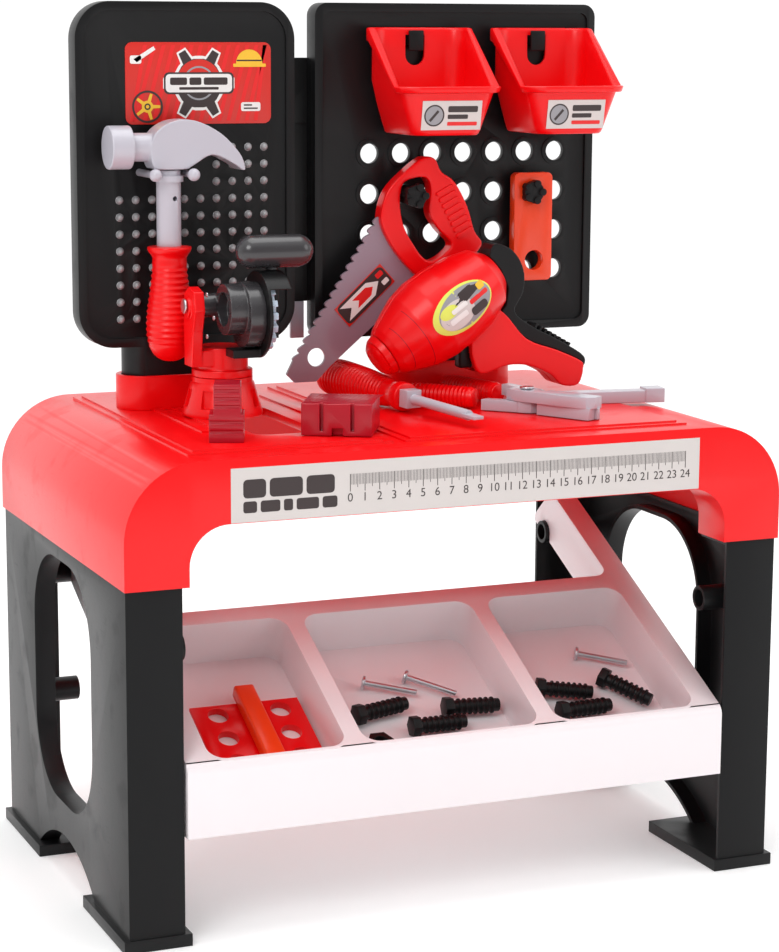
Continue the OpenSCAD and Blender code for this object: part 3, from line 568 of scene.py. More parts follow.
class Sketch:
    """A mesh in the making, drawn in millimetres in a flat frame."""

    def __init__(self, name: str, where: Matrix) -> None:
        """Start an empty mesh that is drawn in this frame."""
        self.name = name
        self.where = where
        self.shape = bmesh.new()

    def ring(self, outline: Iterable[Point], out: float) -> list[bmesh.types.BMVert]:
        """Add the corners of an outline at one height."""
        return [self.shape.verts.new(self.where @ Vector((x, y, out))) for x, y in outline]

    def bridge(self, first: Sequence, second: Sequence) -> None:
        """Join two rings of corners by a band of faces."""
        count = len(first)
        for i in range(count):
            j = (i + 1) % count
            self.shape.faces.new((first[i], first[j], second[j], second[i]))

    def loft(self, rings: Sequence[Sequence[Vector]], capped: bool = True) -> "Sketch":
        """Skin a row of rings, each a list of points in the drawing's frame."""
        made = [[self.shape.verts.new(self.where @ point) for point in ring] for ring in rings]
        for first, second in zip(made, made[1:]):
            self.bridge(first, second)
        if capped:
            self.shape.faces.new(list(reversed(made[0])))
            self.shape.faces.new(made[-1])
        return self

    def prism(self, outline: Sequence[Point], low: float, high: float, edge: float = 0.0) -> "Sketch":
        """Raise an outline from one height to another, with a small bevel on top."""
        base, top = self.ring(outline, low), self.ring(outline, high - edge)
        self.bridge(base, top)
        if edge:
            middle = Vector((sum(x for x, _ in outline), sum(y for _, y in outline))) / len(outline)
            reach = max((Vector(point) - middle).length for point in outline)
            share = 1 - edge / reach
            inner = [tuple(middle + (Vector(point) - middle) * share) for point in outline]
            cap = self.ring(inner, high)
            self.bridge(top, cap)
            top = cap
        self.shape.faces.new(list(reversed(base)))
        self.shape.faces.new(top)
        return self

    def bar(self, left: float, low: float, right: float, high: float, top: float = 0.05) -> "Sketch":
        """Add a flat bar with barely rounded corners."""
        radius = min(right - left, high - low) * 0.22
        return self.prism(rounded(left, low, right, high, radius, 3), 0.0, top)

    def disc(self, x: float, y: float, radius: float, top: float = 0.05, steps: int = 40) -> "Sketch":
        """Add a flat disc."""
        return self.prism(arc(x, y, radius, 0, 360 - 360 / steps, steps - 1), 0.0, top)

    def hoop(self, x: float, y: float, inner: float, outer: float, low: float, high: float) -> "Sketch":
        """Add a flat ring with a square section."""
        loops = [(inner, low), (outer, low), (outer, high), (inner, high)]
        made = [self.ring(arc(x, y, radius, 0, 352.5, 47), out) for radius, out in loops]
        for first, second in zip(made, made[1:] + made[:1]):
            self.bridge(first, second)
        return self

    def lathe(self, profile: Sequence[Point], steps: int = 56) -> "Sketch":
        """Turn a profile of (radius, height) points about the drawing's third axis."""
        turns = [2 * math.pi * i / steps for i in range(steps)]
        rings = [
            [Vector((radius * math.cos(turn), radius * math.sin(turn), height)) for turn in turns]
            for radius, height in profile
        ]
        return self.loft(rings)

    def patch(self, outline: Sequence[Point], rings: int = 8) -> "Sketch":
        """Fill a round-ish outline with rings of small faces, so that it can be bent."""
        middle_x = sum(x for x, _ in outline) / len(outline)
        middle_y = sum(y for _, y in outline) / len(outline)
        loops = []
        for step in range(rings, 0, -1):
            share = step / rings
            loops.append(self.ring([
                (middle_x + (x - middle_x) * share, middle_y + (y - middle_y) * share)
                for x, y in outline
            ], 0.0))
        for first, second in zip(loops, loops[1:]):
            self.bridge(first, second)
        self.shape.faces.new(loops[-1])
        return self

    def piece(self, angle: float = 35.0) -> bpy.types.Object:
        """Close the mesh and make it an object."""
        bmesh.ops.recalc_face_normals(self.shape, faces=self.shape.faces)
        return from_bmesh(self.name, self.shape, angle)


class Repeater:
    """A Geometry Nodes tree that repeats one small shape in rows, columns or a ring."""

    INPUTS = {
        "Shape": "NodeSocketObject",
        "Columns": "NodeSocketInt",
        "Rows": "NodeSocketInt",
        "Across": "NodeSocketVector",
        "Along": "NodeSocketVector",
        "Turn": "NodeSocketVector",
        "Finish": "NodeSocketMaterial",
    }
    SMOOTH_BELOW = 35.0

    def __init__(self) -> None:
        """Build the tree and remember each input's identifier."""
        self.tree = bpy.data.node_groups.new("repeater", "GeometryNodeTree")
        face = self.tree.interface
        self.names = {
            name: face.new_socket(name, in_out="INPUT", socket_type=kind).identifier
            for name, kind in self.INPUTS.items()
        }
        face.new_socket("Geometry", in_out="OUTPUT", socket_type="NodeSocketGeometry")
        self.source = self.tree.nodes.new("NodeGroupInput")
        count = self.maths("MULTIPLY", self.value("Columns"), self.value("Rows"))
        index = self.tree.nodes.new("GeometryNodeInputIndex").outputs[0]
        column = self.maths("MODULO", index, self.value("Columns"))
        row = self.maths("FLOOR", self.maths("DIVIDE", index, self.value("Columns")), None)
        across = self.vector("SCALE", self.value("Across"), column)
        along = self.vector("SCALE", self.value("Along"), row)
        place = self.vector("ADD", across, along)
        turn = self.vector("SCALE", self.value("Turn"), column)
        points = self.tree.nodes.new("GeometryNodePoints")
        self.link(count, points.inputs["Count"])
        self.link(place, points.inputs["Position"])
        shape = self.tree.nodes.new("GeometryNodeObjectInfo")
        self.link(self.value("Shape"), shape.inputs["Object"])
        copies = self.tree.nodes.new("GeometryNodeInstanceOnPoints")
        self.link(points.outputs[0], copies.inputs["Points"])
        self.link(shape.outputs["Geometry"], copies.inputs["Instance"])
        self.link(turn, copies.inputs["Rotation"])
        real = self.tree.nodes.new("GeometryNodeRealizeInstances")
        self.link(copies.outputs[0], real.inputs[0])
        paint = self.tree.nodes.new("GeometryNodeSetMaterial")
        self.link(real.outputs[0], paint.inputs["Geometry"])
        self.link(self.value("Finish"), paint.inputs["Material"])
        result = self.tree.nodes.new("NodeGroupOutput")
        self.link(paint.outputs[0], result.inputs[0])

    def value(self, name: str) -> bpy.types.NodeSocket:
        """The output of one of the tree's named inputs."""
        return self.source.outputs[name]

    def link(self, output: bpy.types.NodeSocket, target: bpy.types.NodeSocket) -> None:
        """Link two sockets."""
        self.tree.links.new(output, target)

    def maths(self, operation: str, first: bpy.types.NodeSocket, second: object) -> bpy.types.NodeSocket:
        """Add a Math node and return its result."""
        made = self.tree.nodes.new("ShaderNodeMath")
        made.operation = operation
        self.link(first, made.inputs[0])
        if second is not None:
            self.link(second, made.inputs[1])
        return made.outputs[0]

    def vector(self, operation: str, first: bpy.types.NodeSocket, second: object) -> bpy.types.NodeSocket:
        """Add a Vector Math node and return its result."""
        made = self.tree.nodes.new("ShaderNodeVectorMath")
        made.operation = operation
        self.link(first, made.inputs[0])
        self.link(second, made.inputs["Scale" if operation == "SCALE" else 1])
        return made.outputs[0]

    def repeat(
        self,
        name: str,
        shape: bpy.types.Object,
        finish: "Finish",
        where: Matrix,
        columns: int,
        across: Sequence[float] = (0, 0, 0),
        rows: int = 1,
        along: Sequence[float] = (0, 0, 0),
        turn: Sequence[float] = (0, 0, 0),
    ) -> bpy.types.Object:
        """Repeat a shape and keep the result as one plain mesh.

        Args:
            name: the new piece's name.
            shape: the shape, drawn in millimetres, which is deleted.
            finish: the copies' finish.
            where: the drawing's frame on the bench.
            columns: how many copies stand in a row.
            across: the step from one copy to the next, in millimetres.
            rows: how many rows there are.
            along: the step from one row to the next, in millimetres.
            turn: the turn from one copy to the next, in radians about each axis.

        Returns:
            The piece.
        """
        carrier = add_object(name, bpy.data.meshes.new(name + "_carrier"))
        nodes = carrier.modifiers.new("repeat", "NODES")
        nodes.node_group = self.tree
        wanted = {
            "Shape": shape, "Columns": columns, "Rows": rows, "Across": across, "Along": along,
            "Turn": turn, "Finish": Paints.of(finish),
        }
        for key, given in wanted.items():
            if isinstance(given, tuple):
                given = [float(part) for part in given]
            nodes[self.names[key]] = given
        piece = baked(carrier, self.SMOOTH_BELOW)
        piece.data.transform(where)
        old = shape.data
        bpy.data.objects.remove(shape)
        bpy.data.meshes.remove(old)
        return piece


REPEATER = Repeater()
FLAT = Matrix.Identity(4)


def reskin(node: str, width: float = 0.8, segments: int = 3) -> bpy.types.Object:
    """Replace a CAD node by a rounded copy in its own finish."""
    return dress(softened(node, width, segments), SLOT_FINISH[SLOT_OF[node]], BODY_OF[node], [node])


# ---- printed labels ----


@dataclass
class Print:
    """Flat printed art on one label, drawn from a corner of it in millimetres."""

    node: str
    where: Matrix
    done: int = 0

    def layer(self, finish: Finish, draw: Callable[[Sketch], object]) -> None:
        """Print one colour, a hair above the colours before it.

        Args:
            finish: the ink.
            draw: a function that draws the shapes on a sketch.
        """
        self.done += 1
        lift = self.where @ Matrix.Translation((0, 0, 0.02 * self.done))
        sketch = Sketch(f"{self.node}_ink_{self.done}", lift)
        draw(sketch)
        dress(sketch.piece(), finish, BODY_OF[self.node])


def numeral(value: int, height: float) -> bpy.types.Mesh:
    """A whole number as a flat mesh with this height in millimetres, centred on zero."""
    curve = bpy.data.curves.new("numeral", "FONT")
    curve.body = str(value)
    curve.size = height * 1.38
    curve.align_x = "CENTER"
    made = add_object("numeral", curve)
    bpy.context.view_layer.update()
    mesh = bpy.data.meshes.new_from_object(made.evaluated_get(bpy.context.evaluated_depsgraph_get()))
    bpy.data.objects.remove(made)
    bpy.data.curves.remove(curve)
    return mesh


@dataclass
class Ruler:
    """The ruler on the apron: three lengths of tick, numbers, and plain bars for a title."""

    node: str = "ruler_label"
    zero: float = 79.3
    unit: float = 10.0
    units: int = 24
    top: float = 8.3

    def build(self) -> list[str]:
        """Make the film and its print."""
        film = reskin(self.node, 0.1)
        film.data.transform(Matrix.Translation((0, 0.1 * MM, 0)))
        label = Span.of(self.node)
        corner = Vector((label.low.x + self.zero, label.low.y + 0.08, label.high.z))
        where = drawing(corner, RIGHT, UP)
        body = BODY_OF[self.node]
        sets = ((self.unit / 10, 15.2, 0.28), (self.unit / 2, 17.0, 0.34), (self.unit, 19.5, 0.46))
        for step, bottom, width in sets:
            tick = Sketch("tick", FLAT).bar(-width / 2, -bottom, width / 2, -self.top).piece()
            count = round(self.units * self.unit / step) + 1
            row = REPEATER.repeat(f"ruler_ticks_{step:g}", tick, Finish.DARK_INK, where, count, (step, 0, 0))
            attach(row, body)
        self.numbers(where)
        Print(self.node, where).layer(Finish.DARK_INK, self.title)
        return [self.node]

    def numbers(self, where: Matrix) -> None:
        """Print the numbers under the long ticks."""
        joined = bmesh.new()
        for value in range(self.units + 1):
            mesh = numeral(value, 5.6)
            mesh.transform(Matrix.Translation((value * self.unit, -25.9, 0.04)))
            joined.from_mesh(mesh)
            bpy.data.meshes.remove(mesh)
        piece = from_bmesh("ruler_numbers", joined)
        piece.data.transform(where)
        dress(piece, Finish.DARK_INK, BODY_OF[self.node])

    def title(self, sketch: Sketch) -> None:
        """Draw plain bars where a title would stand."""
        rows = ((-19.3, -7.5, (15.0, 22.0, 19.0)), (-28.6, -21.3, (9.0, 13.0, 6.0, 15.0, 10.0)))
        for low, high, widths in rows:
            left = -71.3
            for width in widths:
                sketch.bar(left, low, left + width, high)
                left += width + 2.4


def gear(x: float, y: float, body: float, outer: float, teeth: int, width: float) -> list[Point]:
    """A gear wheel's outline."""
    points: list[Point] = []
    sides = (
        (body, -1.5), (body, -1.0), (outer, -0.75), (outer, 0.75), (body, 1.0), (body, 1.5),
    )
    for tooth in range(teeth):
        turn = 360 * tooth / teeth
        for radius, side in sides:
            angle = math.radians(turn) + side * width / 2 / radius
            points.append((x + radius * math.cos(angle), y + radius * math.sin(angle)))
    return points


@dataclass
class BoardLabel:
    """The red label on the studded board: a gear, a plain pale band and tool pictures."""

    node: str = "board_label"

    def build(self) -> list[str]:
        """Make the film and its print."""
        reskin(self.node, 0.1)
        label = Span.of(self.node)
        middle = label.at(0.5, 0, 0.5)
        art = Print(self.node, drawing(middle - BACK * 0.03, RIGHT, UP))
        art.layer(Finish.RED_INK, self.stripes)
        art.layer(Finish.PALE_INK, lambda ink: ink.prism(gear(0, 0, 18.4, 25.6, 6, 9.6), 0, 0.05))
        art.layer(Finish.DARK_INK, lambda ink: ink.prism(gear(0, 0, 16.6, 24.2, 6, 7.0), 0, 0.05))
        art.layer(Finish.RED_FILM, lambda ink: ink.prism(arc(0, 0, 16.0, 8, 172, 24), 0, 0.05))
        art.layer(Finish.GREY_INK, lambda ink: ink.hoop(0, 0, 10.2, 11.4, 0, 0.05))
        art.layer(Finish.DARK_INK, lambda ink: ink.bar(-24.8, -7.3, 24.8, 7.3))
        art.layer(Finish.PALE_INK, lambda ink: ink.bar(-23.6, -6.1, 23.6, 6.1))
        art.layer(Finish.DARK_INK, self.words)
        art.layer(Finish.YELLOW_INK, self.yellow)
        art.layer(Finish.PALE_INK, self.pale)
        art.layer(Finish.DARK_INK, self.dark)
        return [self.node]

    def stripes(self, ink: Sketch) -> None:
        """Draw faint slanted stripes."""
        for i in range(-7, 8):
            left = i * 6.6
            low, high, slant = -25.4, 25.4, 7.0
            bottom = max(-49.0, left - slant)
            top = min(46.0, left + slant)
            ink.prism([(bottom, low), (bottom + 2.8, low), (top + 2.8, high), (top, high)], 0, 0.03)

    def words(self, ink: Sketch) -> None:
        """Draw plain bars where words would stand."""
        for left, width in ((-20.5, 12.0), (-6.8, 8.5), (3.4, 17.0)):
            ink.bar(left, -1.2, left + width, 3.8)
        ink.bar(-14.0, -4.4, 14.0, -2.6)

    def yellow(self, ink: Sketch) -> None:
        """Draw the hat and the glove."""
        ink.prism(arc(36, 13, 9.5, 0, 180, 14), 0, 0.05)
        ink.bar(24.5, 10.8, 48.0, 13.0)
        ink.prism(gear(-36.5, -15.5, 4.0, 9.0, 5, 2.4), 0, 0.05)

    def pale(self, ink: Sketch) -> None:
        """Draw the hammer and a small plate."""
        ink.prism([(-46, 16), (-43.6, 14), (-30.6, 22.4), (-32, 24.6)], 0, 0.05)
        ink.bar(-48.5, 13.0, -40.5, 18.5)
        ink.bar(30.0, -19.0, 44.0, -13.0)

    def dark(self, ink: Sketch) -> None:
        """Draw the outlines of the pictures."""
        ink.hoop(-36.5, -15.5, 9.4, 10.8, 0, 0.05)
        ink.hoop(-36.5, -15.5, 1.2, 2.2, 0, 0.05)
        ink.bar(27.0, 14.6, 45.0, 15.6)
        ink.bar(32.0, -17.6, 42.0, -16.6)
        ink.bar(32.0, -15.4, 38.0, -14.4)


@dataclass
class BinLabel:
    """The film on the front of a bin: a round picture beside three plain bars."""

    node: str
    lean: float = math.atan2(6.0, 34.0)

    def build(self) -> list[str]:
        """Make the film and its print."""
        reskin(self.node, 0.1)
        slope = Vector((0, -math.sin(self.lean), math.cos(self.lean)))
        out = RIGHT.cross(slope)
        corner = Span.of(self.node).at(0.5, 0.5, 0.5) + out * 0.28
        art = Print(self.node, drawing(corner, RIGHT, slope))
        art.layer(Finish.GREY_INK, lambda ink: ink.disc(-13.0, 0.0, 7.2))
        art.layer(Finish.DARK_INK, self.dark)
        art.layer(Finish.RED_INK, lambda ink: ink.bar(-3.0, -7.0, 19.0, -4.4))
        return [self.node]

    def dark(self, ink: Sketch) -> None:
        """Draw the tool in the disc and the bars beside it."""
        ink.hoop(-13.0, 0.0, 6.4, 7.4, 0, 0.05)
        ink.prism([(-16.8, -3.2), (-15.4, -4.4), (-9.4, 2.6), (-10.8, 3.8)], 0, 0.05)
        ink.bar(-3.0, 2.2, 19.0, 6.4)
        ink.bar(-3.0, -2.4, 12.0, 0.6)


@dataclass
class SawLabel:
    """The film on the hand saw's blade: a dark patch with pale and red shapes."""

    node: str = "handsaw_label"
    tilt: float = 42.0

    def build(self) -> list[str]:
        """Make the film and its print."""
        reskin(self.node, 0.1)
        turn = math.radians(self.tilt)
        across = Vector((math.cos(turn), 0, math.sin(turn)))
        up = Vector((-math.sin(turn), 0, math.cos(turn)))
        middle = Span.of(self.node).at(0.5, 0, 0.5) - BACK * 0.03
        art = Print(self.node, drawing(middle, across, up))
        art.layer(Finish.DARK_INK, lambda ink: ink.bar(-22.2, -7.9, 22.2, 7.9))
        art.layer(Finish.PALE_INK, self.pale)
        art.layer(Finish.RED_INK, self.red)
        return [self.node]

    def pale(self, ink: Sketch) -> None:
        """Draw the pale arrow and bars."""
        ink.prism([(-20.0, -5.6), (6.0, -5.6), (14.0, 0.4), (6.0, 6.0), (-20.0, 6.0), (-13.0, 0.4)], 0, 0.05)
        ink.bar(15.0, -5.0, 20.5, -1.4)

    def red(self, ink: Sketch) -> None:
        """Draw the red arrow and bar."""
        ink.prism([(-9.5, -3.4), (3.6, -3.4), (8.4, 0.4), (3.6, 3.8), (-9.5, 3.8), (-5.6, 0.4)], 0, 0.05)
        ink.bar(14.4, 1.6, 20.4, 5.4)


# ---- studio ----


@dataclass
class Studio:
    """Floor, light and camera."""

    yaw: float = 22.87
    pitch: float = 10.27
    roll: float = 0.32
    camera_at: tuple[float, float, float] = (-0.66715, -1.59813, 0.57837)
    lens: float = 95.6
    front: float = 0.38
    rear: float = 1.05
    above: float = 1.1

    def build(self) -> None:
        """Set up the whole studio."""
        self.camera()
        self.floor()
        self.light()

    def camera(self) -> None:
        """Stand the camera in front and to the left of the bench."""
        lens = bpy.data.cameras.new("camera")
        lens.lens = self.lens
        lens.sensor_width = 36.0
        lens.clip_start = 0.05
        made = bpy.data.objects.new("camera", lens)
        bpy.context.scene.collection.objects.link(made)
        turn = (
            Matrix.Rotation(math.radians(-self.yaw), 4, "Z")
            @ Matrix.Rotation(math.radians(90 - self.pitch), 4, "X")
            @ Matrix.Rotation(math.radians(self.roll), 4, "Z")
        )
        made.matrix_world = Matrix.Translation(self.camera_at) @ turn
        bpy.context.scene.camera = made

    def floor(self) -> None:
        """Lay a wide pale floor just under the feet."""
        shape = bmesh.new()
        bmesh.ops.create_grid(shape, x_segments=8, y_segments=8, size=14.0)
        floor = from_bmesh("floor", shape)
        floor.data.transform(Matrix.Translation((0, 0, -0.2 * MM)))
        graph = Graph("studio floor")
        cloud = graph.noise(graph.place(), 0.6, 1.0)
        graph.feed(graph.shader.inputs["Base Color"],
                   graph.tint(cloud, (0.93, 0.93, 0.93), (0.96, 0.96, 0.96)))
        graph.shader.inputs["Roughness"].default_value = 0.9
        graph.shader.inputs["Specular IOR Level"].default_value = 0.1
        graph.shader.inputs["Emission Color"].default_value = (1.0, 1.0, 1.0, 1.0)
        graph.shader.inputs["Emission Strength"].default_value = 0.14
        floor.data.materials.append(graph.material)

    def lamp(self, name: str, at: Sequence[float], size: float, power: float) -> None:
        """Hang one softbox that looks at the middle of the bench."""
        data = bpy.data.lights.new(name, "AREA")
        data.shape = "DISK"
        data.size = size
        data.energy = power
        lamp = bpy.data.objects.new(name, data)
        bpy.context.scene.collection.objects.link(lamp)
        lamp.location = at
        aim = Vector((0.0, 0.0, 0.3)) - Vector(at)
        lamp.rotation_euler = aim.to_track_quat("-Z", "Y").to_euler()

    def room(self) -> bpy.types.World:
        """A white room that is dimmer towards the camera, so that dark parts stay dark."""
        world = bpy.data.worlds.new("studio")
        world.use_nodes = True
        tree = world.node_tree
        coords = tree.nodes.new("ShaderNodeTexCoord")
        parts = tree.nodes.new("ShaderNodeSeparateXYZ")
        tree.links.new(coords.outputs["Generated"], parts.inputs[0])
        ramps = []
        for axis, start, end in (("Y", -0.75, 0.45), ("Z", 0.25, 0.9)):
            ramp = tree.nodes.new("ShaderNodeMapRange")
            ramp.interpolation_type = "SMOOTHSTEP"
            ramp.inputs["From Min"].default_value = start
            ramp.inputs["From Max"].default_value = end
            tree.links.new(parts.outputs[axis], ramp.inputs["Value"])
            ramps.append(ramp)
        ramps[0].inputs["To Min"].default_value = self.front
        ramps[0].inputs["To Max"].default_value = self.rear
        ramps[1].inputs["To Max"].default_value = self.above
        most = tree.nodes.new("ShaderNodeMath")
        most.operation = "MAXIMUM"
        for i, ramp in enumerate(ramps):
            tree.links.new(ramp.outputs[0], most.inputs[i])
        tree.links.new(most.outputs[0], tree.nodes["Background"].inputs["Strength"])
        tree.nodes["Background"].inputs["Color"].default_value = (1.0, 1.0, 1.0, 1.0)
        return world

    def light(self) -> None:
        """Light the bench softly from all round, a little stronger from the left."""
        bpy.context.scene.world = self.room()
        bpy.context.scene.view_settings.view_transform = "Standard"
        self.lamp("key softbox", (-1.6, -1.6, 1.9), 1.3, 22.0)
        self.lamp("fill softbox", (1.9, -1.5, 1.3), 1.4, 9.0)
        self.lamp("top softbox", (0.1, -0.1, 2.3), 1.6, 14.0)


# ---- turned and moulded pieces ----


def flowing(points: Sequence[Point], steps: int = 6) -> list[Point]:
    """A smooth open curve through points, for a profile or an edge."""
    ends = [points[0], *points, points[-1]]
    curve: list[Point] = []
    for before, first, second, after in zip(ends, ends[1:], ends[2:], ends[3:]):
        for step in range(steps):
            t = step / steps
            curve.append(tuple(
                0.5 * (2 * b + (c - a) * t + (2 * a - 5 * b + 4 * c - d) * t * t
                       + (3 * b - a - 3 * c + d) * t ** 3)
                for a, b, c, d in zip(before, first, second, after)
            ))
    return [*curve, tuple(points[-1])]


@dataclass(frozen=True)
class Ribs:
    """Evenly spaced rings along a turned handle, between two heights."""

    start: float
    end: float
    pitch: float
    depth: float

    def at(self, height: float) -> float:
        """How far the surface stands back at a height."""
        if not self.start < height < self.end:
            return 0.0
        fade = min(1.0, (height - self.start) / 4, (self.end - height) / 4)
        wave = math.cos(2 * math.pi * (height - self.start) / self.pitch)
        return self.depth * fade * (0.5 - 0.5 * wave) ** 0.7


def turned(points: Sequence[Point], ribs: Ribs) -> list[Point]:
    """A smooth profile through (radius, height) points, cut by ring ribs."""
    curve = flowing(points, 5)
    low, high = curve[0][1], curve[-1][1]
    count = int((high - low) / (ribs.pitch / 8))
    profile: list[Point] = []
    for i in range(count + 1):
        height = low + (high - low) * i / count
        radius = points[-1][0]
        for (r0, h0), (r1, h1) in zip(curve, curve[1:]):
            if h0 <= height <= h1 and h1 > h0:
                radius = r0 + (r1 - r0) * (height - h0) / (h1 - h0)
                break
        profile.append((max(0.05, radius - ribs.at(height)), height))
    return profile


def spine(node: str, towards: Vector) -> tuple[Vector, Vector]:
    """Where a long CAD node starts and which way it runs.

    Args:
        node: a node that is round or square about one long axis.
        towards: roughly the direction in which it runs.

    Returns:
        Its first point on the axis, in millimetres, and its unit direction.
    """
    points = [Vector(vertex.co) / MM for vertex in frame["nodes"][node].data.vertices]
    middle = sum(points, Vector()) / len(points)
    line = towards.normalized()
    for _ in range(30):
        pulled = sum(((point - middle) * (point - middle).dot(line) for point in points), Vector())
        line = pulled.normalized()
    start = min((point - middle).dot(line) for point in points)
    return middle + line * start, line


def along(node: str, towards: Vector) -> Matrix:
    """A drawing frame whose third axis runs along a long CAD node from its start."""
    start, line = spine(node, towards)
    across = line.cross(UP).normalized()
    return drawing(start, across, line.cross(across))


@dataclass
class Boards:
    """Both boards, with the left one's domed studs."""

    columns: int = 10
    rows: int = 11
    pitch: float = 11.5
    first_row: float = 212.5
    label_rows: int = 3
    label_columns: int = 6
    recess: float = 2.5

    def build(self) -> list[str]:
        """Round both boards and set the studs."""
        reskin("left_board", 1.6)
        reskin("right_board", 1.0)
        board = Span.of("left_board")
        middle = board.at(0.5, 0, 1)
        corner = Vector((
            middle.x - (self.columns - 1) / 2 * self.pitch + 4,
            board.low.y + self.recess,
            board.high.z - self.first_row,
        ))
        lower = self.rows - self.label_rows
        self.field("left_studs", corner, self.columns, lower)
        shift = Vector((self.label_columns * self.pitch, 0, lower * self.pitch))
        self.field("right_studs", corner + shift, self.columns - self.label_columns, self.label_rows)
        return ["left_board", "right_board"]

    def field(self, name: str, corner: Vector, columns: int, rows: int) -> None:
        """Set one field of studs."""
        dome = [(0.1, 3.3)] + [
            (2.5 * math.sin(math.radians(turn)), 3.3 * math.cos(math.radians(turn)))
            for turn in range(15, 91, 15)
        ] + [(2.8, -0.2), (0.1, -0.3)]
        stud = Sketch("stud", FLAT).lathe(dome[::-1], 16).piece(50.0)
        where = drawing(corner, RIGHT, UP)
        piece = REPEATER.repeat(
            name, stud, Finish.STUD, where, columns, (self.pitch, 0, 0), rows, (0, self.pitch, 0)
        )
        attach(piece, BODY_OF["left_board"])


@dataclass
class Bin:
    """A flared bin with a rolled rim that rises towards its back, and a slot for its hook."""

    node: str
    wall: float = 2.2
    front_rim: float = 33.0
    step_at: tuple[float, float] = (-14.0, 32.0)
    foot: float = 25.0
    flange: float = 4.0

    def build(self) -> list[str]:
        """Skin the bin from its foot over its rim and down inside."""
        span = Span.of(self.node)
        width = span.size.x / 2
        base = span.low
        middle = base.x + width
        front, back = span.low.y, span.high.y
        sketch = Sketch(self.node + "_skin", Matrix.Scale(MM, 4))
        top = self.plan(middle, width - self.flange, front + 2, back, 13)
        low = self.plan(middle, self.foot, front + 8, back, 10)
        rings = [self.level(low, top, base.z, 0.0, inset) for inset in (1.2, 0.0)]
        rings[1] = [point + Vector((0, 0, 1.0)) for point in rings[1]]
        rings += [self.level(low, top, base.z, share, 0.0) for share in (0.1, 0.3, 0.5, 0.7, 0.86)]
        for share, grow in ((0.865, 0.6), (0.87, 3.4), (0.885, 4.0), (0.98, 4.0), (0.996, 3.4)):
            rings.append(self.level(low, top, base.z, share, -grow * self.flange / 4))
        rings += [self.level(low, top, base.z, share, self.wall * out)
                  for share, out in ((1.0, 0.0), (0.992, 0.7), (0.97, 1.0), (0.8, 1.0), (0.6, 1.0),
                                     (0.4, 1.0), (0.2, 1.0), (0.08, 1.25), (0.05, 2.0))]
        sketch.loft(rings)
        skin = sketch.piece(50.0)
        self.cut(skin, Vector((middle, back, base.z)))
        dress(skin, Finish.RED, BODY_OF[self.node], [self.node])
        return [self.node]

    def plan(self, x: float, half: float, front: float, back: float, radius: float) -> list[Point]:
        """The bin's outline seen from above."""
        return rounded(x - half, front, x + half, back, radius, 10)

    def rise(self, y: float) -> float:
        """How high the rim stands at a depth."""
        start, end = self.step_at
        t = min(1.0, max(0.0, (y - start) / (end - start)))
        return self.front_rim + (72.0 - self.front_rim) * t * t * (3 - 2 * t)

    def level(
        self, low: Sequence[Point], top: Sequence[Point], base: float, share: float, inset: float
    ) -> list[Vector]:
        """The ring at this share of the rim's height, moved inwards by an inset."""
        middle_x = sum(x for x, _ in top) / len(top)
        middle_y = sum(y for _, y in top) / len(top)
        back = max(y for _, y in top)
        ring = []
        for (x0, y0), (x1, y1) in zip(low, top):
            tall = self.rise(y1)
            spread = min(1.0, share * tall / self.front_rim)
            x, y = x0 + (x1 - x0) * spread, y0 + (y1 - y0) * spread
            out = Vector((x - middle_x, y - middle_y))
            out.normalize()
            x, y = x - out.x * inset, y - out.y * inset
            ring.append(Vector((x, min(y, back), base + tall * share)))
        return ring

    def cut(self, skin: bpy.types.Object, back: Vector) -> None:
        """Cut the hook's slot, square above and round below, through the back wall."""
        half, low, high = 7.2, 46.0, 67.0
        outline = [(half, high), (-half, high), *arc(0, low + half, half, 180, 360, 12)]
        cutter = Sketch("slot", drawing(back, RIGHT, UP)).prism(outline, 0, 9).piece()
        carved(skin, cutter, 3.0)


@dataclass
class Hammer:
    """A cast-look head on a shaft, and a turned handle with ring ribs."""

    profile: tuple[Point, ...] = (
        (0.1, 0.0), (6.0, 1.0), (11.5, 5.0), (15.2, 13.0), (16.4, 22.0), (15.8, 34.0), (13.0, 54.0),
        (11.6, 68.0), (12.2, 71.5), (14.4, 74.6), (14.4, 77.6), (9.0, 78.0),
    )

    def build(self) -> list[str]:
        """Make the head, the shaft and the handle."""
        dress(melted("hammer_head", 0.55, 7), Finish.SILVER, "hammer", ["hammer_head"])
        reskin("hammer_shaft", 0.6)
        where = along("hammer_handle", UP)
        sketch = Sketch("hammer_handle_skin", where)
        sketch.lathe(turned(self.profile, Ribs(10.0, 66.0, 4.0, 0.75)))
        dress(sketch.piece(50.0), Finish.RED, "hammer", ["hammer_handle"])
        return ["hammer_head", "hammer_shaft", "hammer_handle"]


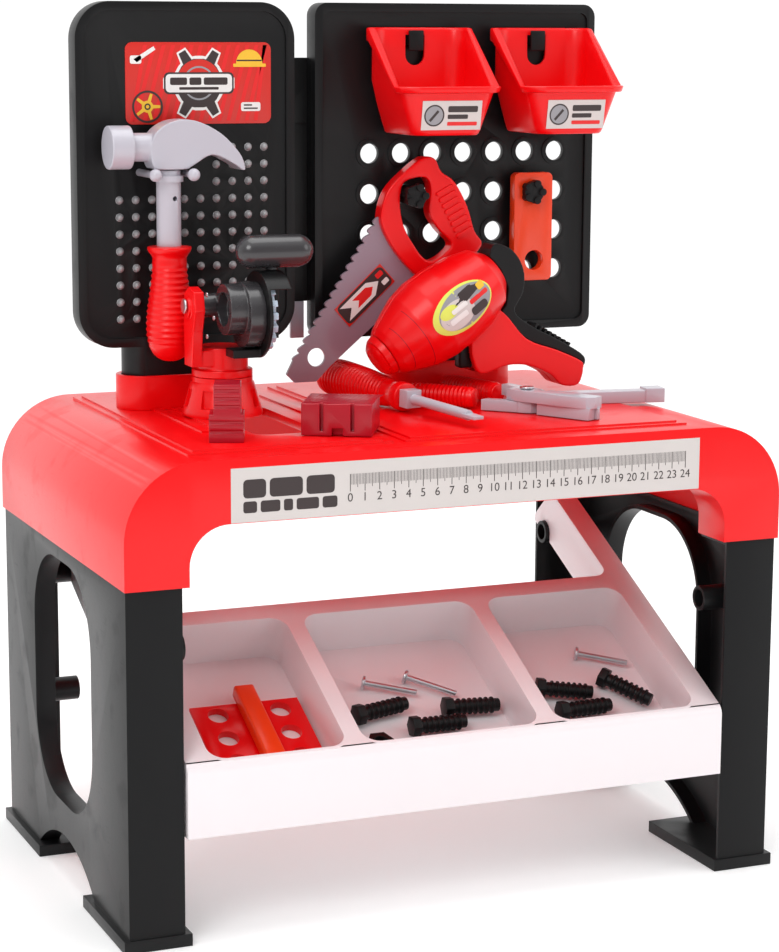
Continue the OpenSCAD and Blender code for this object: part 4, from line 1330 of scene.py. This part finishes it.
@dataclass
class HandSaw:
    """The hand saw's soft-edged handle, with ridges across its grip."""

    ridges: int = 8
    teeth: int = 16

    def build(self) -> list[str]:
        """Make the handle, its ridges and the blade."""
        dress(melted("handsaw_handle", 0.7, 9), Finish.RED, "handsaw", ["handsaw_handle"])
        hang = joint_at("handsaw_screw_turn")
        self.blade(hang)
        front = Span.of("handsaw_handle").low.y
        lean = math.radians(-62.0)
        across = Vector((-math.sin(lean), 0, math.cos(lean)))
        up = across.cross(BACK)
        origin = Vector((hang.x + 24.0, front + 0.9, hang.z + 3.0))
        bar = Sketch("ridge", FLAT).prism(rounded(-7.2, -1.5, 7.2, 1.5, 1.4, 5), 0.0, 2.2, 0.7).piece(60.0)
        row = REPEATER.repeat(
            "handsaw_ridges", bar, Finish.RED, drawing(origin, across, up), self.ridges,
            (0, -4.8, 0)
        )
        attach(row, "handsaw")
        return ["handsaw_handle", "handsaw_blade"]

    def blade(self, hang: Vector) -> None:
        """Cut the blade with its coarse rounded teeth and the hole near its tip.

        Args:
            hang: the middle of the screw that it hangs on.
        """
        start, end = Vector((-22.0, -14.0)), Vector((-86.0, -114.0))
        run = (end - start) / self.teeth
        out = Vector((run.y, -run.x)).normalized()
        tooth = ((0.0, 0.0), (0.3, 1.5), (0.6, 2.5), (0.82, 2.7), (0.96, 1.7))
        edge = [
            tuple(start + run * (i + share) + out * rise)
            for i in range(self.teeth) for share, rise in tooth
        ]
        outline = [
            (-12, -6), *edge, (-92, -122), (-86, -128), (-70, -128), (-60, -118), (8, -61),
            (6, -50), (-4, -38), (-12, -24),
        ]
        middle = Span.of("handsaw_blade").at(0.5, 0.5, 0.5)
        where = drawing(Vector((hang.x, middle.y, hang.z)), RIGHT, UP)
        plate = Sketch("handsaw_blade_skin", where).prism(outline, -1.2, 1.2).piece()
        carved(plate, Sketch("hole", where).disc(-70, -111, 6.5, 5.0).piece(), 5.0)
        dress(plate, Finish.MAUVE, "handsaw", ["handsaw_blade"])


@dataclass
class CircularSaw:
    """The small mitre saw: pill handle, drum, fine-toothed disc and fluted stand."""

    def build(self) -> list[str]:
        """Soften the castings and add the disc's pressed details."""
        dress(melted("saw_knob", 0.5, 8), Finish.SMOKE, "saw_arm", ["saw_knob"])
        dress(melted("saw_motor", 0.5, 3), Finish.SMOKE, "saw_arm", ["saw_motor"])
        dress(melted("saw_guard", 0.45, 2, 0.6), Finish.BLACK, "saw_arm", ["saw_guard"])
        dress(melted("saw_turntable", 0.5, 5), Finish.RED, "saw_turntable", ["saw_turntable"])
        reskin("saw_disc", 0.5)
        self.hub()
        self.screws()
        return ["saw_knob", "saw_motor", "saw_guard", "saw_turntable", "saw_disc"]

    def hub(self) -> None:
        """Press a ring and a circle of dimples on the disc's outer face."""
        disc = Span.of("saw_disc")
        where = drawing(disc.at(1, 0.5, 0.5), BACK, UP)
        ring = Sketch("disc_ring", where).hoop(0, 0, 15.5, 17.0, -0.2, 0.5)
        dress(ring.piece(), Finish.DISC, "saw_disc")
        dimple = Sketch("dimple", FLAT).hoop(11.5, 0, 1.2, 2.0, -0.2, 0.4).piece()
        step = 2 * math.pi / 6
        row = REPEATER.repeat("disc_dimples", dimple, Finish.DISC, where, 6, turn=(0, 0, step))
        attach(row, "saw_disc")

    def screws(self) -> None:
        """Set four small screws round the drum's face."""
        motor = Span.of("saw_motor")
        where = drawing(motor.at(0, 0.5, 0.5), -BACK, UP)
        head = Sketch("head", FLAT).hoop(13.8, 0, 0.7, 1.5, -0.4, 0.3).piece()
        row = REPEATER.repeat(
            "drum_screws", head, Finish.STEEL, where, 4, turn=(0, 0, math.pi / 2)
        )
        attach(row, "saw_arm")


@dataclass
class Blocks:
    """The two wood-like blocks on the deck."""

    def build(self) -> list[str]:
        """Soften both blocks and grain the top of the wide one."""
        reskin("stepped_block", 0.7)
        reskin("grooved_block", 0.6)
        block = Span.of("grooved_block")
        turn = math.radians(-29.0)
        across = Vector((math.cos(turn), math.sin(turn), 0))
        up = Vector((-math.sin(turn), math.cos(turn), 0))
        corner = Vector((block.low.x, block.high.y - 45 * math.cos(turn), block.high.z))
        chip = Sketch("chip", FLAT).prism([(0, 0), (2.1, 0.5), (2.6, 1.7), (0.6, 1.3)], -0.1, 0.3).piece()
        where = drawing(corner - UP * 0.25, across, up)
        where = where @ Matrix.Translation((2.0, 6.0, 0))
        grain = REPEATER.repeat(
            "block_grain", chip, Finish.CRIMSON, where, 14, (3.0, 0.2, 0), 13, (0.4, 2.9, 0)
        )
        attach(grain, "grooved_block")
        return ["stepped_block", "grooved_block"]


def draped(piece: bpy.types.Object, over: bpy.types.Object, lift: float) -> bpy.types.Object:
    """Lay a thin piece, seen from the front, on another piece's front.

    Args:
        piece: the thin piece.
        over: the piece that it is laid on.
        lift: how far in front of it it lies, in millimetres.

    Returns:
        The piece.
    """
    tree = BVHTree.FromObject(over, bpy.context.evaluated_depsgraph_get())
    for vertex in piece.data.vertices:
        start = vertex.co - BACK * 0.2
        hit, _, _, _ = tree.ray_cast(start, BACK)
        if hit is not None:
            vertex.co = hit - BACK * lift * MM
    piece.data.shade_smooth()
    return piece


@dataclass
class Drill:
    """The drill: two shells with their parting line, nose, strap, trigger and label."""

    tilt: float = math.radians(34.0)
    label_scale: float = 1.17
    nose: tuple[Point, ...] = (
        (0.1, 0.0), (7.0, 0.2), (10.5, 1.2), (12.6, 3.2), (13.4, 4.2), (13.0, 4.6), (14.3, 5.2),
        (15.2, 8.4), (15.5, 9.4), (9.0, 9.6),
    )

    def build(self) -> list[str]:
        """Make every piece of the drill's skin."""
        front = dress(melted("drill_front_shell", 0.7, 4), Finish.RED, "drill", ["drill_front_shell"])
        dress(melted("drill_rear_shell", 0.7, 4), Finish.RED, "drill", ["drill_rear_shell"])
        dress(melted("drill_grip", 0.6, 5), Finish.BLACK, "drill", ["drill_grip"])
        reskin("drill_trigger", 1.8)
        self.tip()
        self.seams(front)
        self.label(front)
        self.strap()
        return ["drill_front_shell", "drill_rear_shell", "drill_grip", "drill_trigger", "drill_nose",
                "drill_label"]

    def axes(self) -> tuple[Vector, Vector]:
        """The barrel's direction and the direction square to it, seen from the front."""
        return (Vector((math.cos(self.tilt), 0, math.sin(self.tilt))),
                Vector((-math.sin(self.tilt), 0, math.cos(self.tilt))))

    def tip(self) -> None:
        """Turn the nose, with its fine ring seam."""
        forward, up = self.axes()
        middle = joint_at("drill_nose_spin")
        where = drawing(middle - forward * 32.0, up, forward.cross(up))
        sketch = Sketch("drill_nose_skin", where).lathe([*self.nose, (6.0, 9.7), (6.0, 22.0)])
        dress(sketch.piece(40.0), Finish.RED, "drill_nose", ["drill_nose"])

    def seams(self, shell: bpy.types.Object) -> None:
        """Draw the ring groove round the front of the barrel as a dark line."""
        forward, up = self.axes()
        where = drawing(joint_at("drill_nose_spin") - BACK * 40, forward, up)
        for i, (place, half) in enumerate(((-1.0, 23.0), (-14.0, 17.5))):
            line = Sketch(f"drill_seam_{i}", where)
            edge = [(place + 2.2 * (1 - (h / half) ** 2) ** 0.5, h)
                    for h in [half * math.sin(math.radians(t)) for t in range(-78, 79, 6)]]
            back = [(x + 0.45, y) for x, y in edge]
            made = [line.ring(side, 0.0) for side in (edge, back)]
            for a, b, c, d in zip(made[0], made[0][1:], made[1][1:], made[1]):
                line.shape.faces.new((a, b, c, d))
            dress(draped(line.piece(), shell, 0.06), Finish.CRIMSON, "drill")

    def label(self, shell: bpy.types.Object) -> None:
        """Lay the printed film on the barrel: ellipses and plain bars."""
        forward, up = self.axes()
        middle = Span.of("drill_label").at(0.5, 0, 0.5)
        where = drawing(middle, forward, up)
        layers = (
            (Finish.LIME_INK, self.oval(0, 0, 21.5, 12.6)),
            (Finish.GREY_INK, self.oval(1.6, 0, 19.0, 11.0)),
            (Finish.FILM, self.oval(-5.0, -1.0, 12.0, 8.2)),
            (Finish.LIME_INK, self.oval(-9.0, 3.2, 6.4, 3.6)),
            (Finish.DARK_INK, [(2.0, 8.6), (-4.0, 4.0), (4.0, 2.2), (16.0, 4.0), (18.4, 6.0), (10.0, 8.8)]),
            (Finish.YELLOW_INK, rounded(14.0, 2.4, 19.2, 6.6, 1.0, 3)),
            (Finish.RED_INK, rounded(5.0, -1.4, 19.0, 1.4, 1.0, 3)),
            (Finish.DARK_INK, rounded(3.0, -8.4, 15.0, -3.2, 2.0, 4)),
            (Finish.PALE_INK, rounded(-12.0, -4.6, 1.0, -1.2, 1.0, 4)),
            (Finish.PALE_INK, rounded(-8.0, 0.4, 3.6, 3.2, 1.0, 4)),
        )
        for i, (finish, outline) in enumerate(layers):
            outline = [(x * self.label_scale, y * self.label_scale) for x, y in outline]
            patch = Sketch(f"drill_print_{i}", where).patch(outline, 6)
            piece = draped(patch.piece(80.0), shell, 0.3 + 0.05 * i)
            replaced = ["drill_label"] if i == 0 else []
            dress(piece, finish, "drill", replaced)

    def oval(self, x: float, y: float, wide: float, high: float) -> list[Point]:
        """An ellipse's outline."""
        turns = [2 * math.pi * i / 40 for i in range(40)]
        return [(x + wide * math.cos(turn), y + high * math.sin(turn)) for turn in turns]

    def strap(self) -> None:
        """Raise ribs across the back of the black strap."""
        span = Span.of("drill_grip")
        line = Vector((0.87, 0, -0.49))
        where = drawing(span.at(0.5, 0.5, 0.35), -BACK, line)
        rib = Sketch("rib", FLAT).prism(rounded(-7.6, -0.9, 7.6, 0.9, 0.8, 4), -2.4, 0.9, 0.3).piece()
        row = REPEATER.repeat("strap_ribs", rib, Finish.BLACK, where, 8, (0, 4.2, 0))
        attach(row, "drill")


@dataclass
class Screwdriver:
    """The screwdriver's ribbed handle and its square-collared blade."""

    profile: tuple[Point, ...] = (
        (0.1, 0.0), (6.0, 0.4), (10.4, 2.4), (12.6, 6.0), (13.3, 14.0), (13.4, 24.0), (12.4, 50.0),
        (10.1, 75.0), (8.7, 83.0), (8.9, 87.0), (9.9, 91.0), (9.9, 96.8), (9.0, 98.0), (3.6, 98.0),
    )

    def build(self) -> list[str]:
        """Turn the handle and soften the blade."""
        where = along("screwdriver_handle", -BACK)
        sketch = Sketch("screwdriver_handle_skin", where)
        sketch.lathe(turned(self.profile, Ribs(10.0, 80.0, 3.6, 0.85)))
        dress(sketch.piece(60.0), Finish.RED, "screwdriver", ["screwdriver_handle"])
        reskin("screwdriver_blade", 0.8)
        return ["screwdriver_handle", "screwdriver_blade"]


@dataclass
class Pliers:
    """The pliers' ribbed grips and their facetted jaws."""

    profile: tuple[Point, ...] = (
        (3.0, 0.0), (5.9, 0.1), (6.6, 2.2), (7.3, 5.5), (7.5, 20.0), (7.5, 42.0), (6.6, 53.0),
        (4.4, 58.0), (0.1, 59.4),
    )

    def build(self) -> list[str]:
        """Turn both grips and soften both halves."""
        grips = {"pliers_lower_grip": "pliers_lower", "pliers_upper_grip": "pliers_upper"}
        for node, body in grips.items():
            where = along(node, Vector((-0.5, 0.87, 0)))
            sketch = Sketch(node + "_skin", where)
            sketch.lathe(turned(self.profile, Ribs(4.0, 54.0, 3.0, 0.6)), 40)
            dress(sketch.piece(60.0), Finish.RED, body, [node])
        reskin("pliers_lower_half", 0.7)
        reskin("pliers_upper_half", 0.7)
        return [*grips, "pliers_lower_half", "pliers_upper_half"]


# ---- the bench ----


@dataclass
class Remaining:
    """Every CAD node that keeps its shape, with moulded corners."""

    widths: dict[str, float] = field(default_factory=lambda: {
        "worktop": 1.4, "left_leg": 1.3, "right_leg": 1.3, "tray": 1.0,
        "wrench": 0.9, "orange_bar": 1.6, "link_strip": 1.4,
    })
    finishes: dict[str, Finish] = field(default_factory=lambda: {
        "toy_dowels": Finish.SILVER, "hole_plate": Finish.RED, "board_sockets": Finish.RED,
    })

    def build(self, done: Iterable[str]) -> None:
        """Round and finish each node that no other class has made.

        Args:
            done: the nodes that already have their pieces.
        """
        left = sorted(set(BODY_OF) - set(done))
        for node in left:
            width = self.widths.get(node, 0.6)
            finish = self.finishes.get(node, SLOT_FINISH[SLOT_OF[node]])
            dress(softened(node, width), finish, BODY_OF[node], [node])


def main() -> None:
    """Build the studio, then each part of the workbench in turn."""
    logging.basicConfig(level=logging.INFO, format="%(message)s")
    Studio().build()
    done: list[str] = []
    assemblies = [
        Ruler(), BoardLabel(), BinLabel("left_bin_label"), BinLabel("right_bin_label"), SawLabel(),
        Boards(), Bin("left_bin"), Bin("right_bin"), Hammer(), HandSaw(), CircularSaw(), Blocks(),
        Drill(), Screwdriver(), Pliers(),
    ]
    for assembly in assemblies:
        done += assembly.build()
    Remaining().build(done)


if __name__ == "__main__":
    main()
